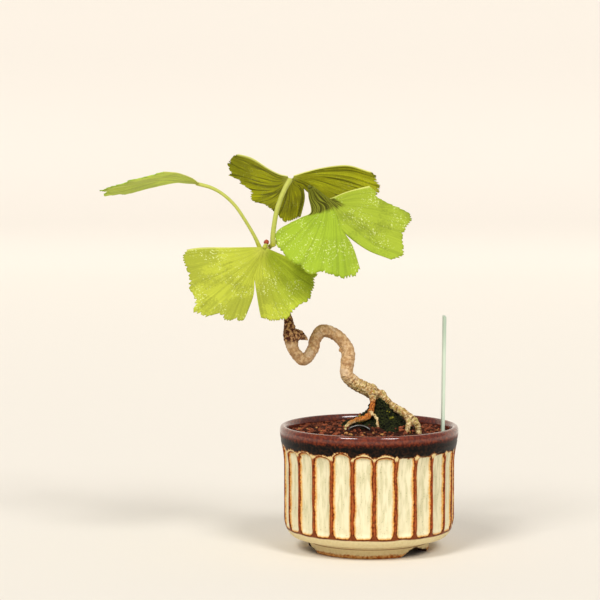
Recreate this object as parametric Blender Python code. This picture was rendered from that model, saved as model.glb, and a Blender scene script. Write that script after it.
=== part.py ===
"""A young ginkgo bonsai in a small fluted pot.

Design points are in millimetres, measured from the pot's own axis (x to the right, y away from
the front, z up from the table). They become metres when a mesh is made. The tree leans far to
the left, so the pot stands POT_X to the right of the world origin, which is then the middle of
the whole plant seen from above.
"""
import math

import bmesh
import bpy
import numpy as np
from mathutils import noise, Vector

MM = 0.001
POT_X = 38.0  # from the middle of the whole plant to the pot's axis
GAP = 0.35  # kept between pieces that touch

# Pot
FLUTES = 25
FLUTE_DEPTH = 1.3
FLUTE_TURN = math.radians(1.8)  # the ridge nearest the front stands this far to the right
FLUTE_SHOULDERS = (0.0, 0.14, 0.32, 0.5, 0.68, 0.86)  # a ridge is at 0, the hollow's middle at 0.5
FLUTE_FOOT, FLUTE_ARCH = 9.8, 41.0
# height of each flute's arch, counted to the right from the one right of the front ridge
ARCH_TOPS = (44.1, 44.6, 44.2, 44.8, 44.3, 44.6, 44.0, 44.9, 44.4, 43.9, 44.7, 44.3, 45.0,
             44.1, 44.6, 43.9, 44.4, 44.9, 44.2, 44.6, 43.8, 44.4, 43.7, 45.5, 44.5)
POT_SIDES = 50  # round the lip, the inside and the foot, half a flute each
LIP_HEIGHT, LIP_RADIUS = 52.5, 37.5
WALL_RADIUS = 35.8
FOOT_RADIUS, FOOT_HOLLOW, FOOT_HEIGHT = 25.3, 20.8, 5.2
FLOOR_BELOW, FLOOR_TOP = 4.8, 8.6
DRAIN_RADIUS = 5.0
# the three cut-outs of the foot: angle from +X and half width
NOTCHES = ((-38.0, 9.0), (78.0, 8.4), (191.0, 8.0))
# the arch of a cut-out, as (share of the half width, height)
NOTCH_ARCH = ((-1.0, -1.0), (-1.0, 0.3), (-0.78, 1.5), (-0.49, 3.0), (-0.16, 3.5), (0.2, 2.5),
              (0.58, 1.7), (0.95, 1.1), (1.0, 0.3), (1.0, -1.0))
# outside below and above the flutes, then the inside, as (radius, height)
FOOT_PROFILE = ((24.6, 0.0), (FOOT_RADIUS, 0.8), (FOOT_RADIUS + 0.3, 4.6), (27.6, FOOT_HEIGHT), (30.6, 5.7))
LIP_PROFILE = ((37.0, 46.4), (37.4, 48.8), (LIP_RADIUS, 50.8), (37.2, 52.0), (36.2, LIP_HEIGHT), (35.0, 52.0))
INSIDE_PROFILE = ((34.3, 50.6), (34.1, 47.0), (33.2, 30.0), (32.6, 16.0), (29.6, 10.6), (26.0, 9.0))

# Soil
SOIL_LEVEL = 49.3
SOIL_BOTTOM = 10.4
SOIL_RINGS = 10
SOIL_ROUGH = 0.5
# each mound is (x, y, height, spread)
MOUNDS = ((-2.0, -1.0, 5.5, 12.0), (6.5, 1.5, 6.8, 5.5), (4.5, -2.0, 4.5, 4.0), (11.0, -5.0, 2.0, 4.5))

# Drain mesh
MESH_SIZE, MESH_THICK, MESH_BAR, MESH_BARS = 18.0, 1.0, 1.4, 5

# Trunk, twig and roots, as (x, y, z, radius)
TRUNK = (
    (5.5, 2.5, 57.0, 2.2), (4.5, 1.2, 62.5, 2.6), (1.2, -0.3, 66.3, 3.0), (-1.8, -1.0, 68.0, 2.8),
    (-6.3, -1.5, 70.5, 2.8), (-9.5, -2.0, 74.3, 2.75), (-8.8, -1.0, 82.0, 2.9), (-10.2, 0.0, 86.5, 2.6),
    (-14.0, 1.0, 90.3, 2.6), (-19.5, 1.0, 92.0, 2.7), (-22.6, 0.0, 88.6, 2.5), (-23.6, -1.0, 84.5, 2.45),
    (-27.5, -2.0, 80.0, 2.45), (-31.7, -3.0, 84.5, 2.4), (-33.0, -3.0, 90.5, 3.0), (-34.0, -2.0, 97.5, 1.75),
    (-37.0, -1.0, 107.0, 1.6), (-40.5, 0.0, 117.5, 1.5), (-43.0, 0.0, 124.5, 1.7), (-43.0, 0.0, 127.4, 1.1))
ROOT_RIGHT = (
    (4.5, -1.0, 66.3, 1.8), (7.2, -2.5, 63.1, 1.5), (9.8, -4.0, 60.9, 1.55), (13.0, -6.0, 59.1, 1.65),
    (15.9, -8.0, 57.1, 1.75), (18.5, -10.0, 55.4, 1.7), (20.0, -11.0, 53.1, 1.3), (20.2, -12.0, 50.5, 1.1),
    (20.2, -12.5, 46.5, 0.8))
ROOT_FRONT = (
    (1.5, -1.5, 66.6, 2.0), (1.3, -3.5, 64.8, 1.5), (1.4, -5.0, 62.5, 1.2), (0.8, -6.5, 60.0, 1.2),
    (0.3, -8.0, 58.1, 1.25), (-1.4, -9.5, 56.8, 1.2), (-3.5, -10.5, 56.2, 1.2), (-6.5, -11.0, 55.6, 1.0),
    (-9.1, -11.5, 54.0, 0.9), (-11.2, -12.0, 50.0, 0.8))
ROOT_SMALL = ((0.4, -8.0, 58.5, 0.9), (1.9, -9.5, 57.7, 0.65), (2.9, -10.5, 56.3, 0.6), (3.2, -11.5, 54.2, 0.6),
              (3.2, -12.0, 50.0, 0.6))
ROOT_FORK = ((15.5, -8.5, 56.7, 1.2), (16.1, -10.5, 54.9, 1.1), (15.8, -12.0, 52.7, 1.0), (15.4, -13.0, 48.5, 0.7))
ROOT_BACK = (
    (4.0, 1.5, 64.0, 2.0), (4.5, 6.0, 60.0, 1.7), (2.0, 10.5, 55.5, 1.4), (-2.0, 13.5, 51.5, 1.1),
    (-3.0, 14.5, 46.0, 0.8))
ROOTS = (ROOT_RIGHT, ROOT_FRONT, ROOT_SMALL, ROOT_FORK, ROOT_BACK)
SPUR = ((-32.0, -3.0, 91.0, 2.4), (-29.6, -3.2, 90.6, 2.5), (-27.6, -3.6, 89.9, 1.9), (-25.8, -4.0, 88.7, 0.5))
SCAR_BUDS = (((-10.0, -1.0, 83.0), (-12.6, -1.4, 84.2), 1.2), ((-18.5, 1.0, 91.0), (-18.9, -1.6, 93.0), 1.3))
TRUNK_SIDES, ROOT_SIDES = 10, 8

# Bud on the end of the twig
BUD_CENTRE, BUD_RADIUS = (-43.0, 0.0, 129.2), 1.1

# Wire loop and label stake
WIRE_RADIUS = 0.6
WIRE = ((-8.9, -15.0, 46.5), (-8.6, -15.0, 52.2), (-6.6, -15.0, 53.7), (-4.0, -15.2, 54.1),
        (-1.4, -15.4, 53.3), (0.2, -15.5, 51.5), (0.6, -15.5, 46.0))
STAKE_FOOT, STAKE_TOP = (30.4, -7.0, 36.0), (31.0, -7.0, 99.0)
STAKE_THICK, STAKE_WIDE = 1.3, 7.0

# Leaves. A blade is a fan of ribs that leave the end of the stalk. Each rib has four points, a
# quarter of the way along it each. The last rib of the first lobe and the first rib of the second
# share their first two points, and part at the slit. The ends say how much of its rib each column
# of the blade reaches, three columns to a rib.
BLADE_THICK = 0.7
NORMAL_ROUNDS = 3
LEAF_RIGHT = {
    "stalk": ((-42.3, 2.8, 126.6, 1.0), (-39.0, 4.0, 129.2, 0.9), (-33.5, 1.0, 132.5, 0.85),
              (-28.0, -3.5, 136.0, 0.85), (-23.5, -6.5, 140.5, 0.85), (-22.0, -9.0, 146.0, 0.85),
              (-23.4, -11.4, 150.6, 0.85), (-25.2, -13.4, 153.0, 0.75)),
    "base": (-25.8, -14.2, 154.6), "reach": 2.8,
    "first": (
        ((-25.6, -14.0, 148.5), (-24.0, -14.5, 143.0), (-28.0, -17.5, 140.5), (-33.0, -20.0, 138.5)),
        ((-24.6, -14.0, 148.0), (-22.0, -15.0, 142.3), (-30.0, -20.0, 138.5), (-40.0, -24.0, 133.5)),
        ((-23.5, -14.0, 147.6), (-20.5, -15.3, 142.0), (-28.0, -22.0, 134.5), (-37.0, -27.0, 125.0)),
        ((-22.3, -14.0, 147.4), (-18.7, -15.8, 141.8), (-22.0, -24.0, 130.5), (-27.5, -30.0, 118.0)),
        ((-21.0, -14.0, 147.3), (-17.0, -17.0, 140.8), (-17.0, -25.0, 129.5), (-19.0, -32.0, 117.0)),
        ((-19.8, -14.0, 147.3), (-14.6, -19.0, 138.6), (-12.5, -25.5, 129.0), (-11.0, -32.0, 115.0)),
        ((-18.6, -14.0, 147.5), (-12.0, -21.0, 136.0), (-7.5, -26.0, 129.0), (-4.0, -31.0, 118.0))),
    "second": (
        ((-18.6, -14.0, 147.5), (-12.0, -21.0, 136.0), (-2.5, -24.0, 128.0), (10.0, -27.0, 123.0)),
        ((-17.6, -13.6, 147.8), (-9.0, -19.0, 138.8), (2.0, -21.5, 132.5), (14.5, -25.0, 127.5)),
        ((-17.3, -12.8, 148.2), (-8.5, -16.5, 142.3), (2.5, -18.5, 139.0), (15.5, -22.0, 135.5)),
        ((-18.6, -11.8, 148.7), (-10.0, -13.5, 145.2), (1.5, -15.0, 143.5), (18.0, -19.0, 140.5)),
        ((-20.6, -10.8, 149.3), (-13.2, -10.6, 147.0), (-4.5, -11.5, 147.5), (8.5, -14.0, 146.5)),
        ((-22.6, -10.0, 150.2), (-17.2, -8.6, 148.0), (-10.0, -9.0, 150.5), (1.0, -11.0, 153.5))),
    "first_ends": (
        1.0, 1.0, 0.98, 0.98, 0.98, 0.98, 0.97, 0.98, 0.96, 0.98, 0.99, 0.96, 0.97, 0.97, 0.97, 0.98,
        0.98, 0.99, 0.96),
    "second_ends": (
        0.97, 1.0, 1.0, 0.98, 0.96, 0.96, 0.98, 0.98, 0.98, 0.98, 1.0, 1.0, 0.96, 0.94, 0.98, 0.97)}
LEAF_TOP = {
    "stalk": ((-40.2, 0.6, 127.6, 1.15), (-40.3, 0.3, 132.0, 1.05), (-39.0, 1.0, 141.0, 1.0),
              (-37.0, 1.8, 147.5, 1.0), (-35.0, 2.6, 152.0, 1.05), (-33.0, 3.2, 155.4, 1.1)),
    "base": (-33.0, 3.2, 156.3), "reach": 1.5,
    "first": (
        ((-38.0, 6.0, 157.5), (-43.0, 9.0, 160.0), (-49.5, 11.0, 164.0), (-56.5, 13.0, 166.0)),
        ((-38.0, 8.0, 155.5), (-44.0, 13.0, 157.5), (-51.5, 17.0, 159.5), (-59.5, 19.0, 163.5)),
        ((-38.0, 9.0, 154.0), (-44.0, 15.0, 154.0), (-51.5, 20.0, 156.0), (-61.0, 22.0, 158.0)),
        ((-38.0, 10.0, 152.5), (-42.5, 16.0, 151.0), (-48.5, 21.0, 151.5), (-57.0, 24.0, 153.5)),
        ((-37.0, 10.0, 151.0), (-40.5, 16.0, 148.5), (-45.5, 21.0, 147.0), (-52.0, 24.0, 146.0)),
        ((-36.0, 10.0, 150.0), (-38.5, 16.0, 146.0), (-41.5, 21.0, 143.5), (-45.0, 24.0, 142.0)),
        ((-34.5, 10.0, 150.0), (-36.0, 16.0, 145.0), (-37.5, 21.0, 141.5), (-39.5, 24.0, 137.5)),
        ((-33.0, 9.0, 151.0), (-33.0, 15.0, 145.5), (-33.5, 20.0, 140.5), (-34.0, 23.0, 135.0)),
        ((-31.0, 6.5, 154.0), (-28.0, 9.5, 152.0), (-27.0, 15.5, 146.5), (-29.0, 21.0, 137.5))),
    "second": (
        ((-31.0, 6.5, 154.0), (-28.0, 9.5, 152.0), (-21.5, 15.0, 146.0), (-13.0, 20.0, 141.0)),
        ((-28.5, 6.0, 155.0), (-23.5, 9.0, 153.0), (-14.5, 14.0, 148.0), (-4.5, 18.0, 143.5)),
        ((-27.5, 6.0, 156.0), (-20.5, 9.0, 155.0), (-10.5, 12.0, 152.0), (3.0, 15.0, 147.5)),
        ((-27.0, 5.0, 157.0), (-19.5, 7.0, 157.0), (-8.0, 10.0, 155.5), (6.0, 13.0, 150.5)),
        ((-26.5, 4.5, 158.0), (-19.0, 6.0, 159.0), (-7.0, 8.0, 159.0), (5.0, 11.0, 155.0)),
        ((-26.0, 4.0, 158.5), (-19.5, 5.0, 160.0), (-9.0, 6.0, 161.0), (3.0, 8.0, 157.5))),
    "first_ends": (
        0.95, 0.98, 0.98, 0.98, 0.99, 0.96, 0.94, 0.99, 0.9, 0.94, 0.84, 0.88, 0.94, 0.94, 0.83, 0.85,
        0.85, 0.86, 0.88, 0.91, 0.94, 0.92, 0.93, 0.96, 0.97),
    "second_ends": (
        1.0, 1.0, 1.0, 1.0, 1.0, 1.0, 1.0, 0.99, 0.99, 0.98, 0.98, 0.96, 0.96, 0.97, 0.96, 0.97)}
LEAF_FRONT = {
    "stalk": ((-43.0, -2.3, 126.3, 1.0), (-43.0, -7.0, 128.0, 0.9), (-43.3, -11.0, 128.4, 0.9),
              (-43.6, -14.0, 127.8, 1.0)),
    "base": (-43.6, -14.3, 128.0), "reach": 1.0,
    "first": (
        ((-51.5, -15.5, 128.0), (-60.5, -17.0, 128.0), (-69.5, -18.0, 128.0), (-77.0, -20.0, 127.0)),
        ((-51.0, -17.0, 126.0), (-59.5, -20.0, 124.0), (-68.5, -23.0, 122.5), (-77.5, -25.0, 121.0)),
        ((-50.5, -18.0, 123.5), (-58.0, -22.0, 119.5), (-66.0, -26.0, 116.0), (-76.0, -29.0, 111.5)),
        ((-49.5, -18.5, 121.5), (-56.5, -23.5, 115.0), (-64.0, -28.0, 109.0), (-73.5, -32.0, 101.5)),
        ((-48.5, -18.5, 120.0), (-54.0, -24.0, 112.0), (-59.5, -30.0, 105.0), (-67.0, -33.0, 98.5)),
        ((-47.5, -18.0, 120.5), (-51.5, -24.0, 112.5), (-55.0, -29.5, 104.5), (-58.5, -33.0, 97.0)),
        ((-46.5, -17.5, 121.5), (-49.0, -22.0, 115.0), (-51.0, -28.0, 106.0), (-52.5, -32.0, 97.5)),
        ((-45.5, -17.0, 122.0), (-47.5, -20.0, 117.0), (-48.0, -25.5, 109.0), (-50.5, -30.0, 102.0))),
    "second": (
        ((-45.5, -17.0, 122.0), (-47.5, -20.0, 117.0), (-46.5, -25.0, 108.5), (-44.5, -29.0, 99.0)),
        ((-44.5, -16.5, 122.0), (-44.5, -20.0, 115.5), (-42.0, -24.0, 106.5), (-39.0, -27.0, 97.5)),
        ((-42.5, -16.0, 121.5), (-40.5, -18.0, 115.0), (-37.0, -21.0, 107.0), (-32.0, -24.0, 99.5)),
        ((-41.0, -15.0, 122.5), (-37.5, -16.0, 117.0), (-32.0, -17.5, 110.5), (-24.5, -19.5, 104.0)),
        ((-40.0, -14.0, 124.0), (-35.5, -13.5, 120.0), (-29.5, -14.0, 115.0), (-21.5, -14.5, 110.0)),
        ((-39.0, -13.0, 126.0), (-34.5, -12.0, 124.0), (-28.0, -11.0, 121.0), (-21.5, -11.5, 116.5))),
    "first_ends": (
        0.95, 0.99, 0.98, 0.96, 0.94, 0.94, 0.96, 0.93, 0.93, 0.97, 0.94, 0.94, 0.86, 0.86, 0.92, 0.93,
        0.9, 0.94, 0.95, 0.95, 0.96, 0.97),
    "second_ends": (
        0.97, 0.97, 0.97, 0.97, 0.97, 0.98, 0.96, 0.93, 0.91, 0.94, 0.95, 0.94, 0.95, 0.95, 0.95, 1.0)}
LEAF_LEFT = {
    "stalk": ((-45.8, -0.4, 127.0, 0.95), (-48.0, -0.8, 131.8, 0.75), (-51.6, -1.0, 138.0, 0.7),
              (-56.0, -1.0, 144.5, 0.7), (-61.0, -1.0, 149.2, 0.7), (-66.0, -0.5, 152.0, 0.75),
              (-72.2, 0.0, 153.7, 0.8)),
    "base": (-70.6, 0.0, 153.4), "reach": 1.2,
    "first": (
        ((-73.5, -7.0, 156.0), (-76.5, -15.0, 157.5), (-80.0, -23.0, 159.0), (-84.5, -31.0, 159.5)),
        ((-75.5, -7.0, 156.0), (-80.5, -14.0, 157.5), (-86.5, -21.0, 158.0), (-92.5, -28.0, 157.0)),
        ((-77.5, -4.5, 155.5), (-84.5, -9.5, 156.5), (-93.0, -15.0, 155.5), (-102.5, -20.0, 154.5)),
        ((-78.5, -1.0, 155.0), (-88.0, -2.0, 155.0), (-98.5, -5.0, 153.0), (-112.0, -8.5, 151.0))),
    "second": (
        ((-78.5, -1.0, 155.0), (-88.0, -2.0, 155.0), (-99.0, 1.0, 153.0), (-114.0, 3.5, 150.5)),
        ((-78.0, 3.5, 154.5), (-87.5, 8.0, 154.5), (-99.0, 13.0, 151.0), (-112.0, 17.5, 148.0)),
        ((-76.5, 7.0, 154.0), (-83.5, 13.0, 154.0), (-91.5, 20.0, 152.0), (-101.5, 26.0, 148.5)),
        ((-74.5, 7.0, 153.5), (-78.5, 14.0, 153.5), (-83.0, 21.5, 153.5), (-89.5, 29.5, 152.5))),
    "first_ends": (
        0.97, 1.0, 0.93, 0.98, 0.95, 1.0, 0.92, 0.97, 1.0, 0.98),
    "second_ends": (
        0.98, 0.94, 0.98, 1.0, 0.93, 0.97, 0.95, 1.0, 0.94, 0.98)}
COLUMNS_PER_RIB = 3
COARSE_ROWS = (0.0, 0.12, 0.25)
FINE_ROWS = (0.38, 0.5, 0.64, 0.78, 0.9, 1.0)
SLIT_AT = 0.5  # how far along its rib the slit starts
TEETH_FROM = 0.6  # the blade is drawn in beyond this to make the notches of its margin


def clear_scene():
    for old in list(bpy.data.objects):
        bpy.data.objects.remove(old, do_unlink=True)


def material(name, colour, roughness, metallic=0.0):
    made = bpy.data.materials.new(name)
    made.use_nodes = True
    shader = made.node_tree.nodes["Principled BSDF"]
    shader.inputs["Base Color"].default_value = (*colour, 1.0)
    shader.inputs["Roughness"].default_value = roughness
    shader.inputs["Metallic"].default_value = metallic
    made.diffuse_color = (*colour, 1.0)
    return made


def solid(name, points, faces, finish=None, smooth=True):
    """An object from design points in millimetres."""
    mesh = bpy.data.meshes.new(name)
    mesh.from_pydata([((x + POT_X) * MM, y * MM, z * MM) for x, y, z in points], [], faces)
    shape = bmesh.new()
    shape.from_mesh(mesh)
    bmesh.ops.triangulate(shape, faces=[f for f in shape.faces if len(f.verts) > 4])
    bmesh.ops.recalc_face_normals(shape, faces=shape.faces)
    shape.to_mesh(mesh)
    shape.free()
    if smooth:
        mesh.shade_smooth()
    made = bpy.data.objects.new(name, mesh)
    bpy.context.scene.collection.objects.link(made)
    if finish:
        mesh.materials.append(finish)
    return made


def combine(target, tools, operation):
    """Join the tools to the target, or cut them from it, and remove them."""
    for tool in tools:
        step = target.modifiers.new("join", "BOOLEAN")
        step.operation = operation
        step.object = tool
        step.solver = "EXACT"
    bpy.context.view_layer.update()
    result = target.evaluated_get(bpy.context.evaluated_depsgraph_get())
    mesh = bpy.data.meshes.new_from_object(result)
    target.modifiers.clear()
    target.data = mesh
    for tool in tools:
        bpy.data.objects.remove(tool, do_unlink=True)
    return target


def smooth_through(points, at):
    """The point at parameter `at`, 0 to 1, on the smooth curve through evenly numbered points."""
    points = np.asarray(points, float)
    last = len(points) - 1
    place = min(max(at, 0.0), 1.0) * last
    i = min(int(place), last - 1)
    f = place - i
    before = points[i - 1] if i > 0 else 2 * points[0] - points[1]
    after = points[i + 2] if i + 2 <= last else 2 * points[last] - points[last - 1]
    here, there = points[i], points[i + 1]
    return 0.5 * (2 * here + (there - before) * f + (2 * before - 5 * here + 4 * there - after) * f ** 2
                  + (3 * here - before - 3 * there + after) * f ** 3)


def tube(name, route, sides, steps, bump=None, grow=0.0, finish=None):
    """A closed tube along a smooth route of (x, y, z, radius), with rounded-off ends."""
    count = (len(route) - 1) * steps + 1
    line = [smooth_through(route, i / (count - 1)) for i in range(count)]
    centres = [Vector(p[:3]) for p in line]
    radii = [p[3] + grow for p in line]
    ways = [(centres[min(i + 1, count - 1)] - centres[max(i - 1, 0)]).normalized() for i in range(count)]
    if grow:
        centres[0] -= ways[0] * grow
        centres[-1] += ways[-1] * grow
    side = ways[0].orthogonal().normalized()
    points, faces = [], []
    for i in range(count):
        side = (side - ways[i] * side.dot(ways[i])).normalized()
        other = ways[i].cross(side)
        for k in range(sides):
            turn = 2 * math.pi * k / sides
            reach = radii[i] * (1.0 + (bump(i / (count - 1), turn) if bump else 0.0))
            points.append(centres[i] + (side * math.cos(turn) + other * math.sin(turn)) * reach)
    for i in range(count - 1):
        for k in range(sides):
            k2 = (k + 1) % sides
            a, b = i * sides, (i + 1) * sides
            faces += [(a + k, b + k, b + k2), (a + k, b + k2, a + k2)]
    for i, way in ((0, -1), (count - 1, 1)):
        tip = len(points)
        points.append(centres[i] + ways[i] * way * radii[i] * 0.35)
        faces += [(i * sides + k, i * sides + (k + 1) % sides, tip) for k in range(sides)]
    return solid(name, points, faces, finish)


def ring(radius, height, sides=POT_SIDES):
    return [(radius * math.cos(a), radius * math.sin(a), height)
            for a in (ring_angle(k / sides) for k in range(sides))]


def ring_angle(share):
    """Angle from +X at a share of the way round, counted from the ridge nearest the front."""
    return -math.pi / 2 + FLUTE_TURN + 2 * math.pi * share


def strip(low, high):
    """Faces between two rings of points with the same count, given by their first numbers."""
    start_a, count_a = low
    start_b, count_b = high
    faces = []
    few, many = min(count_a, count_b), max(count_a, count_b)
    times = many // few
    few_start, many_start = (start_a, start_b) if count_a == few else (start_b, start_a)
    for k in range(few):
        near, far = few_start + k, few_start + (k + 1) % few
        outer = [many_start + (k * times + j) % many for j in range(times + 1)]
        middle = (times + 1) // 2
        for j in range(times):
            faces.append((near if j < middle else far, outer[j], outer[j + 1]))
        faces.append((near, outer[middle], far))
    return faces


def wall_radius(height):
    """Outer radius of the ridges, from the rounded bottom to the flared top."""
    if height < 14.5:
        drop = (14.5 - height) / 8.8
        return WALL_RADIUS - 5.2 * (1.0 - math.sqrt(max(0.0, 1.0 - drop * drop)))
    return WALL_RADIUS + 1.1 * max(0.0, (height - 37.0) / 8.4) ** 1.5


def fluted_ring(height):
    """One ring of the fluted wall. Each flute ends in an arch above and a round end below."""
    points = []
    for flute in range(FLUTES):
        for share in FLUTE_SHOULDERS:
            across = 2.0 * share - 1.0
            arch = FLUTE_ARCH + (ARCH_TOPS[flute] - FLUTE_ARCH) * math.sqrt(max(0.0, 1.0 - across * across))
            into_top = min(1.0, max(0.0, (arch - height) / 1.2))
            into_foot = min(1.0, max(0.0, (height - FLUTE_FOOT) / 2.6))
            hollow = FLUTE_DEPTH * min(1.0, 1.5 * (1.0 - abs(across) ** 3)) * into_top * into_foot
            if share == 0.0:
                hollow = 0.0
            a = ring_angle((flute + share) / FLUTES)
            radius = wall_radius(height) - hollow
            points.append((radius * math.cos(a), radius * math.sin(a), height))
    return points


def notch_cutter(angle, half):
    """A cutter with an arched top for one cut-out of the foot ring."""
    outline = [(share * half, height) for share, height in NOTCH_ARCH]
    turn = math.radians(angle)
    points = []
    for radius in (FOOT_HOLLOW - 3.0, FOOT_RADIUS + 3.0):
        for across, height in outline:
            points.append((radius * math.cos(turn) - across * math.sin(turn),
                           radius * math.sin(turn) + across * math.cos(turn), height))
    n = len(outline)
    faces = [tuple(range(n)), tuple(range(2 * n - 1, n - 1, -1))]
    faces += [(k, k + n, (k + 1) % n + n, (k + 1) % n) for k in range(n)]
    return solid("notch_cutter", points, faces, smooth=False)


def build_pot(finish):
    rings = [ring(r, z) for r, z in FOOT_PROFILE]
    heights = [7.0, 8.4, FLUTE_FOOT, 10.6, 12.4, 14.6, 26.0, 38.0, FLUTE_ARCH]
    heights += [FLUTE_ARCH + (max(ARCH_TOPS) - FLUTE_ARCH) * s for s in (0.3, 0.55, 0.75, 0.9, 1.0)]
    rings += [fluted_ring(z) for z in heights]
    rings += [ring(r, z) for r, z in LIP_PROFILE + INSIDE_PROFILE]
    rings += [ring(DRAIN_RADIUS + 4.0, FLOOR_TOP, 10), ring(DRAIN_RADIUS, FLOOR_TOP, 10)]
    rings += [ring(DRAIN_RADIUS, FLOOR_BELOW, 10), ring(FOOT_HOLLOW - 0.6, FLOOR_BELOW)]
    rings += [ring(FOOT_HOLLOW, 3.8), ring(FOOT_HOLLOW, 0.6), ring(FOOT_HOLLOW + 0.5, 0.0)]
    points, faces, spans = [], [], []
    for loop in rings:
        spans.append((len(points), len(loop)))
        points += loop
    for low, high in zip(spans, spans[1:] + spans[:1]):
        faces += strip(low, high)
    pot = solid("pot", points, faces, finish)
    combine(pot, [notch_cutter(angle, half) for angle, half in NOTCHES], "DIFFERENCE")
    return pot


def build_drain_mesh(finish):
    """A square plastic mesh over the drain hole."""
    low, high = FLOOR_TOP + GAP, FLOOR_TOP + GAP + MESH_THICK
    half = MESH_SIZE / 2

    def box(x0, x1, y0, y1, z0, z1):
        corners = [(x, y, z) for z in (z0, z1) for x, y in ((x0, y0), (x1, y0), (x1, y1), (x0, y1))]
        sides = [(0, 1, 5, 4), (1, 2, 6, 5), (2, 3, 7, 6), (3, 0, 4, 7), (3, 2, 1, 0), (4, 5, 6, 7)]
        return solid("drain_mesh_part", corners, sides, smooth=False)

    plate = box(-half, half, -half, half, low, high)
    plate.name = "drain_mesh"
    plate.data.materials.append(finish)
    pitch = (MESH_SIZE - MESH_BAR) / (MESH_BARS - 1)
    starts = [-half + MESH_BAR + k * pitch for k in range(MESH_BARS - 1)]
    open_size = pitch - MESH_BAR
    holes = [box(x, x + open_size, y, y + open_size, low - 1.0, high + 1.0) for x in starts for y in starts]
    return combine(plate, holes, "DIFFERENCE")


def inside_radius(height):
    """Radius of the pot's inner wall at a height."""
    steps = sorted((z, r) for r, z in INSIDE_PROFILE)
    return float(np.interp(height, [z for z, r in steps], [r for z, r in steps]))


def soil_height(x, y):
    lift = sum(h * math.exp(-((x - mx) ** 2 + (y - my) ** 2) / (2.0 * s * s)) for mx, my, h, s in MOUNDS)
    crumb = noise.noise(Vector((x * 0.45, y * 0.45, 3.0))) + 0.6 * noise.noise(Vector((x, y, 8.0)))
    return SOIL_LEVEL + lift + SOIL_ROUGH * crumb


def build_soil(finish, holes):
    rings = []
    for height in (SOIL_BOTTOM, 11.6, 16.0, 30.0, SOIL_LEVEL - 2.3):
        rings.append(ring(inside_radius(height) - GAP, height))
    edge = inside_radius(SOIL_LEVEL) - GAP
    for k in range(SOIL_RINGS):
        radius = edge * (1.0 - k / SOIL_RINGS)
        loop = ring(radius, 0.0, POT_SIDES if k < SOIL_RINGS - 2 else POT_SIDES // 2)
        rings.append([(x, y, soil_height(x, y)) for x, y, z in loop])
    points, faces, spans = [], [], []
    for loop in rings:
        spans.append((len(points), len(loop)))
        points += loop
    for low, high in zip(spans, spans[1:]):
        faces += strip(low, high)
    for (start, count), middle in ((spans[0], SOIL_BOTTOM), (spans[-1], soil_height(0.0, 0.0))):
        tip = len(points)
        points.append((0.0, 0.0, middle))
        faces += [(start + k, start + (k + 1) % count, tip) for k in range(count)]
    soil = solid("soil", points, faces, finish)
    return combine(soil, holes, "DIFFERENCE")


def bark(along, turn):
    """Rings and dents of the bark, as a share of the radius."""
    rings = 0.035 * math.sin(along * 150.0) + 0.03 * math.sin(along * 61.0 + 1.0)
    dents = 0.09 * noise.noise(Vector((math.cos(turn) * 1.3, math.sin(turn) * 1.3, along * 24.0)))
    return rings + dents


def trunk_pieces(grow=0.0, finish=None):
    pieces = [tube("trunk", TRUNK, TRUNK_SIDES, 3, bark, grow, finish)]
    pieces += [tube("root", route, ROOT_SIDES, 2, bark, grow) for route in ROOTS]
    return pieces


def build_trunk(finish):
    pieces = trunk_pieces(finish=finish)
    pieces.append(tube("spur", SPUR, ROOT_SIDES, 2, bark))
    for start, end, radius in SCAR_BUDS:
        pieces.append(tube("scar_bud", ((*start, radius), (*end, radius * 0.55)), 6, 2))
    return combine(pieces[0], pieces[1:], "UNION")


def build_bud(finish):
    """A small pointed globe."""
    points, faces, sides, rows = [], [], 10, 6
    for j in range(1, rows):
        lean = math.pi * j / rows
        for k in range(sides):
            turn = 2 * math.pi * k / sides
            flat = BUD_RADIUS * math.sin(lean) * (1.0 + 0.06 * math.cos(turn * 5))
            points.append((flat * math.cos(turn), flat * math.sin(turn), -BUD_RADIUS * math.cos(lean)))
    for j in range(rows - 2):
        for k in range(sides):
            k2 = (k + 1) % sides
            a, b = j * sides, (j + 1) * sides
            faces += [(a + k, a + k2, b + k2), (a + k, b + k2, b + k)]
    low, high = len(points), len(points) + 1
    points += [(0.0, 0.0, -BUD_RADIUS), (0.0, 0.0, BUD_RADIUS * 1.15)]
    faces += [((k + 1) % sides, k, low) for k in range(sides)]
    top = (rows - 2) * sides
    faces += [(top + k, top + (k + 1) % sides, high) for k in range(sides)]
    cx, cy, cz = BUD_CENTRE
    return solid("terminal_bud", [(x + cx, y + cy, z + cz) for x, y, z in points], faces, finish)


def full_ribs(leaf):
    """The ribs of both lobes with their starts, which lie a little way from the stalk's end."""
    base = np.array(leaf["base"])
    made = []
    for lobe in (leaf["first"], leaf["second"]):
        ribs = []
        for rib in lobe:
            way = np.array(rib[0]) - base
            ribs.append(np.array([base + way / np.linalg.norm(way) * leaf["reach"], *rib], float))
        made.append(ribs)
    return made


def rib_row(lobes, which, at):
    """The points of every rib of a lobe at one distance along; before the slit, of both lobes."""
    first, second = lobes
    if at > SLIT_AT:
        return [smooth_through(rib, at) for rib in lobes[which]]
    shared = (first[-1] + second[0]) / 2
    return [smooth_through(rib, at) for rib in first[:-1] + [shared] + second[1:]]


def blade_point(lobes, which, column, per_rib, at):
    """A point of the blade: `column` counts across a lobe, `at` runs from stalk to margin."""
    row = rib_row(lobes, which, at)
    if at <= SLIT_AT and which == 1:
        column += (len(lobes[0]) - 1) * per_rib
    return smooth_through(row, column / per_rib / (len(row) - 1))


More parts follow.
